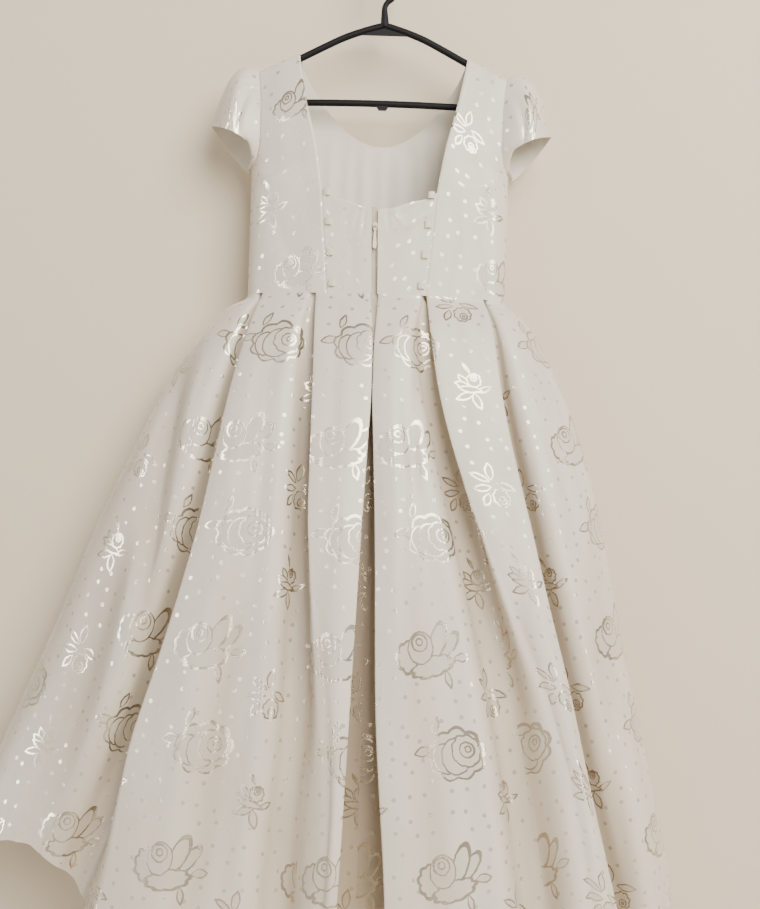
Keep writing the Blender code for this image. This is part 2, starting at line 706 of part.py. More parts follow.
def build_loops():
    """Ribbon loops on the centre panels beside the princess seams, open from top to bottom."""
    arch = ((0.0, 0.95), (0.0, 2.0), (0.12, 2.9), (0.5, LOOP_STAND + 0.7), (0.88, 2.9),
            (1.0, 2.0), (1.0, 0.95))
    for side, name in ((-1, "left"), (1, "right")):
        for number, height in enumerate(LOOP_HEIGHTS, 1):
            z = height + np.array([0.5, -0.5]) * LOOP_SIDE
            lines = []
            for across, out in arch:
                x = princess_x(height) - LOOP_FROM_SEAM + (across - 0.5) * LOOP_SIDE + 0.0 * z
                line = body_point(side * x, z)
                line[:, 1] -= out
                lines.append(line)
            grid = np.stack(lines, axis=1)
            wall(f"lacing_loop_{name}_{number}", grid, RIBBON, flip=side > 0, thickness=0.7)


def tape_point(x, z):
    """A point of the zip's tape, behind the folded edges of the bodice and of the skirt."""
    upper = body_point(x, z)
    upper[:, 1] += TAPE_DEPTH
    lower = skirt_point(x, TAPE_DEPTH + 0.0 * x, z)
    return np.where((z > WAIST)[:, None], upper, lower)


def zip_middle(z):
    left, right = curve_through(SLIT, "left", z), curve_through(SLIT, "right", z)
    return left + ZIP_SHARE * (right - left)


def build_zip():
    z = np.array(TAPE_HEIGHTS)
    left = curve_through(SLIT, "left", z) + TAPE_CLEAR
    right = curve_through(SLIT, "right", z) - TAPE_CLEAR
    middle = zip_middle(z)
    for name, low, high in (("left", left, middle - 0.2), ("right", middle + 0.2, right)):
        grid = np.stack([tape_point(low + (high - low) * s, z) for s in (0.0, 0.5, 1.0)], axis=1)
        wall("zip_tape_" + name, grid, RIBBON, thickness=TAPE)

    x = float(zip_middle(np.array([SLIDER_TOP]))[0]) + SLIDER_SHIFT
    pin_z = SLIDER_TOP - PIN_DROP
    face = float(body_point(np.array([0.0]), np.array([pin_z]))[0, 1])
    back = face + TAPE_DEPTH - 0.5 * TAPE - 0.3
    low, high = SLIDER_TOP - SLIDER_LENGTH, SLIDER_TOP
    outline = [(x - 2.4, low), (x + 2.4, low), (x + 3.2, high - 3.0), (x + 2.2, high),
               (x - 2.2, high), (x - 3.2, high - 3.0)]
    slider = plate("zip_slider", outline, back - SLIDER_THICK, back, METAL)
    pin_y = face - PULL_STAND
    ears = []
    for side in (-1, 1):
        edge = x + side * EAR_INNER
        low, high = pin_z - EAR_HALF_HEIGHT, pin_z + EAR_HALF_HEIGHT
        ear = [(edge, low), (edge + side * EAR, low), (edge + side * EAR, high), (edge, high)]
        ears.append(plate(f"ear_{side + 2}", ear, pin_y - 1.3, back - 1.0, METAL))
    pin = rod("pin", (x, pin_y, pin_z), PIN_RADIUS, 2 * EAR_INNER + EAR, METAL)
    combine(slider, ears + [pin])

    half = PULL_WIDTH / 2
    end = pin_z - PULL_LENGTH
    head = PULL_HALF_HEAD
    right = [(x + half - 1.4, end), (x + half, end + 1.6), (x + half, end + 6.0),
             (x + head, pin_z - 5.0), (x + head, pin_z + BOSS_RADIUS)]
    shape = right + [(2 * x - across, height) for across, height in right[::-1]]
    pull = plate("zip_pull", shape, pin_y - 0.5 * PULL_THICK, pin_y + 0.5 * PULL_THICK, METAL)
    boss = rod("boss", (x, pin_y, pin_z), BOSS_RADIUS, 2 * PULL_HALF_HEAD, METAL)
    bore = rod("bore", (x, pin_y, pin_z), BORE_RADIUS, 4 * PULL_HALF_HEAD, METAL)
    combine(pull, [boss])
    combine(pull, [bore], "DIFFERENCE")


def main():
    build_skirt()
    build_bodice()
    build_sleeves()
    build_hanger()
    build_loops()
    build_zip()


clear_scene()
PARTS = new_collection("formal_dress")
HELPERS = new_collection("helpers")
HELPERS.hide_render = True
main()
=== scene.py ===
"""A girl's formal dress on its plastic hanger: cloth shells with their creases, trims, finishes, light and camera.

Sizes inside the classes are millimetres in the part's own frame: the origin is the top of the inside of
the hook, +Z is up and the dress's back faces -Y. Meshes are made in metres.
"""
import logging
import math
from dataclasses import dataclass, field
from enum import Enum

import bmesh
import bpy
import numpy as np
from mathutils import Matrix, Vector


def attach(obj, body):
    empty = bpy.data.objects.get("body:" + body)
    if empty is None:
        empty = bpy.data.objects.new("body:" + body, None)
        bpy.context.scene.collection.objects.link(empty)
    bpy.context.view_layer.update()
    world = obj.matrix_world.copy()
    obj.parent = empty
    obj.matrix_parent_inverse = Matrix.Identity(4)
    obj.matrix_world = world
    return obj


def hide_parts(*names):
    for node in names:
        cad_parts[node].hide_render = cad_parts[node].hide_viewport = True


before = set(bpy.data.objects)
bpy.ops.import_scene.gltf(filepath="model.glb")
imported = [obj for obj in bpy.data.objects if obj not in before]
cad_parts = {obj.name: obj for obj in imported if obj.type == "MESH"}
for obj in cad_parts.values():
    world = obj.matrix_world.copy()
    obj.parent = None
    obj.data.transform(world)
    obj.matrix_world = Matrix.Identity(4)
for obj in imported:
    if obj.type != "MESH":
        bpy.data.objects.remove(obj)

LOG = logging.getLogger("formal_dress")
MM = 0.001
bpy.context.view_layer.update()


class Slot(Enum):
    """The record's material slots."""

    JACQUARD = "jacquard"
    LINING = "lining"
    RIBBON = "ribbon"
    METAL = "zip_metal"
    PLASTIC = "hanger_plastic"


class Side(Enum):
    """The two sides of the dress, as the sign of x."""

    LEFT = -1
    RIGHT = 1

    @property
    def word(self) -> str:
        """The side's name in the nodes."""
        return self.name.lower()


def smooth_step(share: np.ndarray) -> np.ndarray:
    """A share from 0 to 1 eased at both ends: three times its square less twice its cube."""
    return share * share * (3.0 - 2.0 * share)


def hermite(first: np.ndarray, last: np.ndarray, start: np.ndarray, end: np.ndarray, t: np.ndarray) -> np.ndarray:
    """A cubic from one value to another with given slopes at its ends.

    Args:
        first: the value where t is 0.
        last: the value where t is 1.
        start: the slope where t is 0.
        end: the slope where t is 1.
        t: places from 0 to 1.

    Returns:
        The value at each place.
    """
    return (
        first * (1 + 2 * t) * (1 - t) ** 2 + start * t * (1 - t) ** 2
        + last * t * t * (3 - 2 * t) + end * t * t * (t - 1)
    )


@dataclass(frozen=True)
class Table:
    """Sizes by height, read as smooth monotone curves.

    The first column is the height in mm, highest first, and the others are named.
    """

    names: tuple[str, ...]
    rows: tuple[tuple[float, ...], ...]

    def at(self, name: str, z: np.ndarray) -> np.ndarray:
        """One column's value at the heights z, by cubic pieces with slopes that keep it monotone.

        Args:
            name: the column.
            z: heights in mm.

        Returns:
            The value at each height, the same shape as z.
        """
        data = np.array(self.rows, float)
        where, value = -data[:, 0], data[:, self.names.index(name)]
        run = np.diff(where)
        slope = np.diff(value) / run
        tangent = np.concatenate([[slope[0]], np.zeros(len(where) - 2), [slope[-1]]])
        same = slope[1:] * slope[:-1] > 0
        first, second = run[:-1] + 2 * run[1:], 2 * run[:-1] + run[1:]
        safe = np.where(same, slope[:-1], 1.0), np.where(same, slope[1:], 1.0)
        weight = 1.5 * (run[1:] + run[:-1])
        tangent[1:-1] = np.where(same, 2 * weight / (first / safe[1] + second / safe[0]), 0.0)
        at = np.clip(-np.asarray(z, float), where[0], where[-1])
        k = np.clip(np.searchsorted(where, at, side="right") - 1, 0, len(run) - 1)
        t = (at - where[k]) / run[k]
        return hermite(value[k], value[k + 1], tangent[k] * run[k], tangent[k + 1] * run[k], t)


FOLD_NAMES = ("z", "edge", "mouth", "depth", "under")
PLEAT_L1 = Table(FOLD_NAMES, (
    (-424, -139, 12, 6, 7), (-463, -150, 31, 13, 8), (-545, -168, 42, 24, 10), (-715, -198, 58, 34, 12),
    (-905, -248, 66, 42, 13), (-1090, -308, 80, 46, 12), (-1210, -348, 88, 48, 10),
))
PLEAT_L2 = Table(FOLD_NAMES, (
    (-424, -72, 16, 6, 7), (-463, -71, 40, 12, 8), (-545, -69, 54, 22, 10), (-715, -68, 60, 33, 12),
    (-905, -70, 62, 40, 12), (-1090, -76, 74, 44, 11), (-1210, -80, 80, 46, 9),
))
PLEAT_R3 = Table(FOLD_NAMES, (
    (-424, 63, 14, 6, 7), (-463, 67, 34, 12, 8), (-545, 80, 46, 22, 9), (-715, 131, 66, 35, 11),
    (-905, 182, 80, 42, 12), (-1090, 222, 90, 46, 11), (-1210, 242, 94, 48, 9),
))
PLEAT_R4 = Table(FOLD_NAMES, (
    (-424, 131, 10, 6, 7), (-463, 141, 26, 12, 8), (-545, 153, 38, 24, 10), (-715, 194, 46, 34, 12),
    (-905, 243, 56, 40, 12), (-1090, 290, 64, 44, 11), (-1210, 320, 68, 46, 9),
))
PLEAT_FRONT_SIDE = Table(FOLD_NAMES, (
    (-424, 125, 10, 5.5, 7), (-463, 140, 20, 10, 8), (-545, 160, 36, 15, 9), (-715, 200, 50, 19, 10),
    (-905, 246, 62, 22, 10), (-1210, 310, 84, 24, 9),
))
PLEAT_FRONT_INNER = Table(FOLD_NAMES, (
    (-424, 66, 12, 5.5, 7), (-463, 68, 22, 10, 8), (-545, 74, 36, 15, 9), (-715, 92, 52, 19, 10),
    (-905, 116, 64, 22, 10), (-1210, 150, 80, 24, 9),
))
SKIRT_OUTLINE = Table(("z", "left", "right", "back", "front"), (
    (-424, 159.5, 159.5, 45, 30), (-429, 161, 161, 46.5, 31), (-440, 182, 178, 56, 33),
    (-463, 202, 198, 69, 36), (-487, 222, 212.5, 79, 38), (-517, 244, 227, 90, 40),
    (-549, 262, 242, 99, 42), (-610, 290, 265, 111, 43), (-707, 334, 291, 129, 45),
    (-824, 378, 316, 143, 46), (-980, 440, 353, 158, 47), (-1098, 501, 380, 167, 48),
    (-1210, 556, 400, 175, 48),
))
SLIT = Table(("z", "left", "right", "depth", "under", "seam"), (
    (-300, -10.5, 1.0, 7, 7, 0.2), (-322, -10.0, 1.0, 7, 7, 0.2), (-424, -7.0, 3.0, 9, 8, 4.2),
    (-463, -4.0, 1.6, 12, 9, 3.4), (-492, -1.9, 0.3, 16, 10, 0.6), (-545, -1.9, 0.5, 26, 12, 0.2),
    (-610, -4.0, 4.0, 32, 13, 0.2), (-715, -8.0, 9.0, 38, 14, 0.2), (-905, -14.0, 16.0, 44, 15, 0.2),
    (-1090, -20.0, 31.0, 48, 14, 0.2), (-1210, -25.0, 38.0, 50, 13, 0.2),
))
# how much shorter than its length the skirt falls at each x of its hem
HEM_RISE_X = (-506, -470, -430, -405, -385, -360, -340, -328, -300, -240, 0)
HEM_RISE = (10, 32, 56, 62, 58, 49, 36, 22, 12, 0, 0)

WAIST, UNDERARM, PRINCESS_TOP, NECK_POINT_Z = -424.0, -266.0, -299.0, -121.0
BODY_HALF, BODY_BACK, BODY_FRONT = 159.5, 45.0, 30.0
NECK_POINT_X, ARM_TOP_X = 105.0, 155.0
BACK_NECK = Table(("z", "x"), ((-121, 105), (-145, 101), (-190, 92), (-247, 78.5), (-299, 70)))
ARMHOLE = Table(("z", "x"), (
    (-145, 155), (-165, 152), (-195, 149.5), (-235, 149), (-255, 152.5), (-266, 158.5),
))


@dataclass(frozen=True)
class Crease:
    """A soft ridge or trough that follows a bowed line, as seen from the back or the front.

    Height is the most that the cloth stands out, in mm, and a trough has a negative one.
    """

    start: tuple[float, float]
    end: tuple[float, float]
    width: float
    height: float
    bow: float = 0.0
    fade: float = 0.25

    def lift(self, x: np.ndarray, z: np.ndarray) -> np.ndarray:
        """How far the crease lifts the cloth at each point: a bell across it, faded at both ends.

        Args:
            x: across, in mm.
            z: height, in mm.

        Returns:
            The lift in mm, the same shape as x.
        """
        start, run = np.array(self.start), np.array(self.end) - np.array(self.start)
        length = float(np.hypot(*run))
        along = ((x - start[0]) * run[0] + (z - start[1]) * run[1]) / length**2
        across = ((x - start[0]) * run[1] - (z - start[1]) * run[0]) / length
        across = across - self.bow * 4.0 * along * (1.0 - along)
        ends = np.clip(np.minimum(along + self.fade, 1.0 + self.fade - along) / (2 * self.fade), 0.0, 1.0)
        return self.height * np.exp(-((across / self.width) ** 2)) * smooth_step(ends)


@dataclass
class Lane:
    """A stretch of a sheet's columns that shares one line of the weave's pattern.

    The pattern's own upright line follows the column ref, and shift moves the pattern across it, in mm.
    """

    first: int
    last: int
    ref: int
    shift: float = 0.0


def unit(vectors: np.ndarray) -> np.ndarray:
    """Vectors at length 1."""
    return vectors / np.maximum(np.linalg.norm(vectors, axis=-1, keepdims=True), 1e-9)


def grid_normals(grid: np.ndarray, closed: bool) -> np.ndarray:
    """Unit normals of a grid: the cross product of its central differences across and down.

    Args:
        grid: rows by columns of points.
        closed: whether the last column is the first one again.

    Returns:
        One normal for each point.
    """
    across = np.gradient(grid, axis=1)
    if closed:
        ends = grid[:, 1] - grid[:, -2]
        across[:, 0] = across[:, -1] = 0.5 * ends
    return unit(np.cross(across, np.gradient(grid, axis=0)))


def way_out(grid: np.ndarray, y: float, closed: bool = False) -> int:
    """1 where the grid's own normals mostly look along Y times the sign y, and -1 where they look back.

    Args:
        grid: rows by columns of points.
        y: the wanted way along Y, as a sign.
        closed: whether the last column is the first one again.

    Returns:
        1 or -1.
    """
    return 1 if float(np.median(grid_normals(grid, closed)[..., 1])) * y > 0 else -1


def arc(grid: np.ndarray, axis: int) -> np.ndarray:
    """Length of cloth from the grid's first row or column to each point.

    Args:
        grid: rows by columns of points.
        axis: 0 for the length down the columns, 1 for the length across the rows.

    Returns:
        The length at each point, in mm.
    """
    steps = np.linalg.norm(np.diff(grid, axis=axis), axis=-1)
    start = np.zeros_like(np.take(steps, [0], axis=axis))
    return np.concatenate([start, np.cumsum(steps, axis=axis)], axis=axis)


def refine(
    columns: list[tuple[np.ndarray, np.ndarray]], step: float,
) -> tuple[np.ndarray, np.ndarray, list[int]]:
    """A smooth run of columns through coarse ones, by cubic pieces whose slopes weigh the nearer neighbour.

    Args:
        columns: the (x, depth) of each coarse column at every height.
        step: the widest gap wanted between fine columns, in mm.

    Returns:
        x and depth, fine columns by heights, and the fine index of each coarse column.
    """
    data = np.stack([np.stack(np.broadcast_arrays(x, q)) for x, q in columns])
    chord = np.hypot(*np.moveaxis(np.diff(data, axis=0), 1, 0)) + 1e-4
    slope = np.diff(data, axis=0) / chord[:, None]
    inner = (slope[:-1] * chord[1:, None] + slope[1:] * chord[:-1, None]) / (chord[:-1] + chord[1:])[:, None]
    tangent = np.concatenate([slope[:1], inner, slope[-1:]])
    made, marks = [], []
    last = len(columns) - 2
    for k in range(last + 1):
        marks.append(sum(len(part) for part in made))
        count = int(np.clip(math.ceil(chord[k].max() / step), 2, 14))
        t = (np.arange(count) / count)[:, None, None]
        before = np.minimum(chord[k], 3.0 * chord[max(k - 1, 0)])
        after = np.minimum(chord[k], 3.0 * chord[min(k + 1, last)])
        made.append(hermite(data[k], data[k + 1], tangent[k] * before, tangent[k + 1] * after, t))
    marks.append(sum(len(part) for part in made))
    fine = np.concatenate(made + [data[-1:]])
    return fine[:, 0], fine[:, 1], marks


def shoulder_line(x: np.ndarray) -> np.ndarray:
    """The height of the shoulder ridge at x: 1 down for each 2 outwards from the neck point."""
    return NECK_POINT_Z - 0.5 * (np.abs(x) - NECK_POINT_X)


def body_point(x: np.ndarray, z: np.ndarray, front: bool = False, inset: float = 0.0) -> np.ndarray:
    """A point on the bodice: an ellipse in plan that closes to a round ridge at the shoulders.

    Args:
        x: across, in mm.
        z: height, in mm.
        front: the front of the body in place of its back.
        inset: how far inside the outline it lies.

    Returns:
        Points, with x, y and z in the last axis.
    """
    share = np.abs(np.clip(x / (BODY_HALF - inset), -1.0, 1.0))
    high = np.clip((z - UNDERARM) / 60.0, 0.0, 1.0)
    curve = np.sqrt(1.0 - share**2) * (1.0 - high) + np.sqrt(1.0 - share**6) * high
    drop = np.maximum(0.0, shoulder_line(x) - z)
    above_waist = np.clip((z - WAIST) / (UNDERARM - WAIST), 0.0, 1.0)
    ridge = 0.8 + 4.0 * np.sqrt(np.minimum(1.0, drop / 5.0))
    ridge = ridge * (high + (1.0 - high) * np.minimum(1.0, 2.0 * curve))
    deep = BODY_FRONT if front else BODY_BACK
    y = ridge * above_waist + deep * curve * np.minimum(1.0, drop / 150.0) ** 0.6
    y = np.maximum(y - inset * np.minimum(1.0, 3.0 * curve), 0.34)
    return np.stack(np.broadcast_arrays(x, y if front else -y, z), axis=-1)


def outer_edge(z: np.ndarray) -> np.ndarray:
    """The side seam below the armhole and the armhole's edge above it, as an angle in plan.

    Args:
        z: heights in mm.

    Returns:
        The angle from the middle of the body, whose sine is x over half of the width.
    """
    x = np.where(z > UNDERARM, ARMHOLE.at("x", z), BODY_HALF)
    below = np.clip((UNDERARM - z) / 12.0, 0.0, 1.0)
    rounded = np.arcsin(np.clip(x / BODY_HALF, 0.0, 1.0))
    seam = math.pi / 2 - 0.1 / BODY_FRONT
    return np.where(z > UNDERARM, rounded, rounded + (seam - rounded) * below)


def princess_x(z: np.ndarray) -> np.ndarray:
    """The princess seam's x: 60 mm at the waist and 70 mm at its top."""
    return 60.0 + 10.0 * np.clip((z - WAIST) / (PRINCESS_TOP - WAIST), 0.0, 1.0)


def spread(count: int) -> np.ndarray:
    """Places from 0 to 1 that lie closer together towards both ends."""
    return 0.5 * (1.0 - np.cos(math.pi * np.linspace(0.0, 1.0, count)))


def add_object(name: str, data: bpy.types.ID) -> bpy.types.Object:
    """An object of a mesh, a lamp or a camera, linked to the scene at the origin.

    Args:
        name: the object's name.
        data: what it shows.

    Returns:
        The new object.
    """
    made = bpy.data.objects.new(name, data)
    bpy.context.scene.collection.objects.link(made)
    return made


class Nodes:
    """A node tree with short calls for the nodes that the finishes are made of."""

    def __init__(self, tree: bpy.types.NodeTree) -> None:
        """Keeps the tree."""
        self.tree = tree

    def add(self, kind: str, **settings: object) -> bpy.types.Node:
        """A new node with its settings.

        Args:
            kind: the node's type.
            settings: its properties by name.

        Returns:
            The node.
        """
        node = self.tree.nodes.new(kind)
        for name, value in settings.items():
            setattr(node, name, value)
        return node

    def feed(self, socket: bpy.types.NodeSocket, value: object) -> None:
        """Links a socket, or sets a plain value.

        Args:
            socket: the input.
            value: an output to link, or a number or vector to set.
        """
        if isinstance(value, bpy.types.NodeSocket):
            self.tree.links.new(value, socket)
        else:
            socket.default_value = value

    def math(self, operation: str, *values: object, clamp: bool = False) -> bpy.types.NodeSocket:
        """One step of arithmetic.

        Args:
            operation: which.
            values: its inputs.
            clamp: whether the result is kept from 0 to 1.

        Returns:
            The result.
        """
        node = self.add("ShaderNodeMath", operation=operation, use_clamp=clamp)
        for socket, value in zip(node.inputs, values):
            self.feed(socket, value)
        return node.outputs[0]

    def vector(self, operation: str, *values: object) -> bpy.types.NodeSocket:
        """One step of vector arithmetic.

        Args:
            operation: which.
            values: its inputs.

        Returns:
            The result.
        """
        node = self.add("ShaderNodeVectorMath", operation=operation)
        for socket, value in zip(node.inputs, values):
            self.feed(socket, value)
        return node.outputs["Value" if operation in ("LENGTH", "DOT_PRODUCT", "DISTANCE") else 0]

    def mix(self, share: object, first: object, second: object) -> bpy.types.NodeSocket:
        """A mix of two numbers.

        Args:
            share: how much of the last.
            first: at 0.
            second: at 1.

        Returns:
            The mix.
        """
        node = self.add("ShaderNodeMix", data_type="FLOAT")
        for socket, value in zip(node.inputs[:1] + node.inputs[2:4], (share, first, second)):
            self.feed(socket, value)
        return node.outputs[0]

    def blend(self, share: object, first: object, second: object) -> bpy.types.NodeSocket:
        """A mix of two colours.

        Args:
            share: how much of the last.
            first: at 0.
            second: at 1.

        Returns:
            The mix.
        """
        node = self.add("ShaderNodeMix", data_type="RGBA")
        for socket, value in zip((node.inputs[0], node.inputs[6], node.inputs[7]), (share, first, second)):
            self.feed(socket, value)
        return node.outputs[2]

    def ramp(
        self, value: object, low: float, high: float, first: float = 0.0, last: float = 1.0,
    ) -> bpy.types.NodeSocket:
        """A smooth step from one value to another.

        Args:
            value: what is read.
            low: where the step starts.
            high: where it ends.
            first: the value below it.
            last: the value above it.

        Returns:
            The result.
        """
        node = self.add("ShaderNodeMapRange", interpolation_type="SMOOTHSTEP")
        for socket, given in zip(node.inputs, (value, low, high, first, last)):
            self.feed(socket, given)
        return node.outputs[0]

    def noise(self, place: object, scale: float, detail: float, flat: bool = True) -> bpy.types.Node:
        """A noise texture.

        Args:
            place: where it is read.
            scale: how fine it is.
            detail: how many finer layers it has.
            flat: whether it is read in two dimensions in place of three.

        Returns:
            The node.
        """
        node = self.add("ShaderNodeTexNoise", noise_dimensions="2D" if flat else "3D")
        self.feed(node.inputs["Vector"], place)
        self.feed(node.inputs["Scale"], scale)
        self.feed(node.inputs["Detail"], detail)
        return node

    def bump(self, shader: bpy.types.Node, height: object, distance: float, strength: float) -> None:
        """Gives a shader fine relief.

        Args:
            shader: the Principled shader.
            height: the relief's height, from 0 to 1.
            distance: the relief's depth in metres.
            strength: its share.
        """
        node = self.add("ShaderNodeBump")
        self.feed(node.inputs["Height"], height)
        self.feed(node.inputs["Distance"], distance)
        self.feed(node.inputs["Strength"], strength)
        self.feed(shader.inputs["Normal"], node.outputs[0])

    def split(self, place: object) -> tuple[bpy.types.NodeSocket, bpy.types.NodeSocket]:
        """The first two numbers of a vector.

        Args:
            place: the vector.

        Returns:
            Its x and its y.
        """
        node = self.add("ShaderNodeSeparateXYZ")
        self.feed(node.inputs[0], place)
        return node.outputs[0], node.outputs[1]


def new_group(name: str, inputs: dict[str, str], outputs: dict[str, str]) -> tuple[Nodes, dict, object]:
    """An empty shader node group with named sockets.

    Args:
        name: the group's name.
        inputs: each input's name and socket type.
        outputs: each output's name and socket type.

    Returns:
        Its nodes, its inputs by name, and its output node.
    """
    tree = bpy.data.node_groups.new(name, "ShaderNodeTree")
    for label, kind in inputs.items():
        tree.interface.new_socket(label, in_out="INPUT", socket_type=kind)
    for label, kind in outputs.items():
        tree.interface.new_socket(label, in_out="OUTPUT", socket_type=kind)
    nodes = Nodes(tree)
    start, end = nodes.add("NodeGroupInput"), nodes.add("NodeGroupOutput")
    return nodes, {label: start.outputs[label] for label in inputs}, end


FLOAT, VECTOR = "NodeSocketFloat", "NodeSocketVector"
LINE = 1.55  # the drawn lines' width in mm


@dataclass(frozen=True)
class Petal:
    """One drawn outline: an ellipse, or a pointed leaf where pointed is 1.

    Sizes are mm in the motif's own frame. The line is LINE times line mm wide across the shape's narrow
    way, and heavy is how much wider it grows on the side away from the motif's middle, as a share of the
    shape. Lobes is how far the scallops stand out.
    """

    x: float
    y: float
    wide: float
    tall: float
    turn: float = 0.0
    heavy: float = 0.05
    pointed: float = 0.0
    lobes: float = 0.0
    line: float = 1.0

    def sockets(self, size: float) -> dict[str, object]:
        """The values that the group "petal" takes for this shape.

        Args:
            size: the motif's size, which the line keeps its own width in.

        Returns:
            Each socket's value by name.
        """
        turn = math.radians(self.turn)
        axis, cross = (math.cos(turn), math.sin(turn)), (-math.sin(turn), math.cos(turn))
        away = unit(np.array((self.x, self.y)) + (0.01, 0.01))
        shift = [self.heavy * float(away @ np.array(line)) for line in (axis, cross)]
        return {
            "Centre": (self.x, self.y, 0.0),
            "Axis": (axis[0] / self.wide, axis[1] / self.wide, 0.0),
            "Cross": (cross[0] / self.tall, cross[1] / self.tall, 0.0),
            "Shift": (*shift, 0.0), "Pointed": self.pointed, "Lobes": self.lobes,
            "Stroke": self.line * LINE / size / min(self.wide, self.tall) + self.heavy,
        }


ROSE_SIDE = (
    Petal(21, -37, 11, 4.5, -78, 0.12, 1.0), Petal(39, -11, 10, 5.5, 10, 0.06, 1.0),
    Petal(-22, -9, 14, 18, 8, 0.07, 0.0, 0.15), Petal(26, 4, 8, 19, -36, 0.06), Petal(14, 9, 10, 23, -20, 0.07),
    Petal(4, -21, 25, 11, 13, 0.06, 0.0, 0.13), Petal(-8, 1, 15, 19, -6, 0.0), Petal(-9, 7, 10, 10.5, 0, 0.05),
    Petal(-9, 8, 4.6, 4.8, 0, 0.1),
)
ROSE_OPEN = (
    Petal(-38, 6, 12, 6, 12, 0.05, 1.0), Petal(-22, 33, 11, 4.5, 72, 0.1, 1.0),
    Petal(0, 0, 31, 27, 8, 0.035, 0.0, 0.14, 1.4), Petal(-15, -4, 13, 18, 12, 0.0), Petal(-2, -3, 17, 21, 4, 0.0),
    Petal(11, 3, 17, 18, 0, 0.04, 0.0, 0.08), Petal(12, 4, 9.5, 9.5, 0, 0.06), Petal(13, 5, 4.4, 4.4, 0, 0.1),
)
BUD_LOW = (
    Petal(-3, 24, 9, 2.4, -62, 0.2, 1.0), Petal(16, -5, 11, 4, 25, 0.08, 1.0), Petal(-9, -14, 14, 5, 22, 0.06, 1.0),
    Petal(4, -21, 11.5, 5.5, -75, 0.08, 1.0), Petal(-9, 8, 9, 4.5, 130, 0.08, 1.0),
    Petal(-11, 1, 10, 5, 165, 0.08, 1.0), Petal(-2, -5, 16, 4.8, -8, 0.06, 1.0),
    Petal(4.5, 7, 8.5, 9, 0, 0.05, 0.0, 0.12), Petal(4.5, 10, 4.6, 4.8, 0, 0.08), Petal(4.5, 10, 1.9, 2.0, 0, 0.1),
)
BUD_HIGH = (
    Petal(0, 21, 12, 5.5, 85, 0.06, 1.0), Petal(-13.5, 13.5, 13, 4.5, -28, 0.1, 1.0),
    Petal(17, 2, 13, 5, -20, 0.08, 1.0), Petal(-14, -1, 12, 5, 8, 0.08, 1.0),
    Petal(-12, -16, 10, 5, 62, 0.1, 1.0), Petal(7, -13, 10.5, 11, 0, 0.04, 0.0, 0.14),
    Petal(8, -16, 5.4, 5.6, 0, 0.06), Petal(8, -16, 2.3, 2.4, 0, 0.1),
)


@dataclass(frozen=True)
class Motif:
    """One motif of the repeat: its shapes, where it sits in a cell of the pattern in mm, and its size.

    Clear is how far round it no spot is drawn, in the motif's own size.
    """

    petals: tuple[Petal, ...]
    across: float
    down: float
    clear: float
    size: float = 1.0


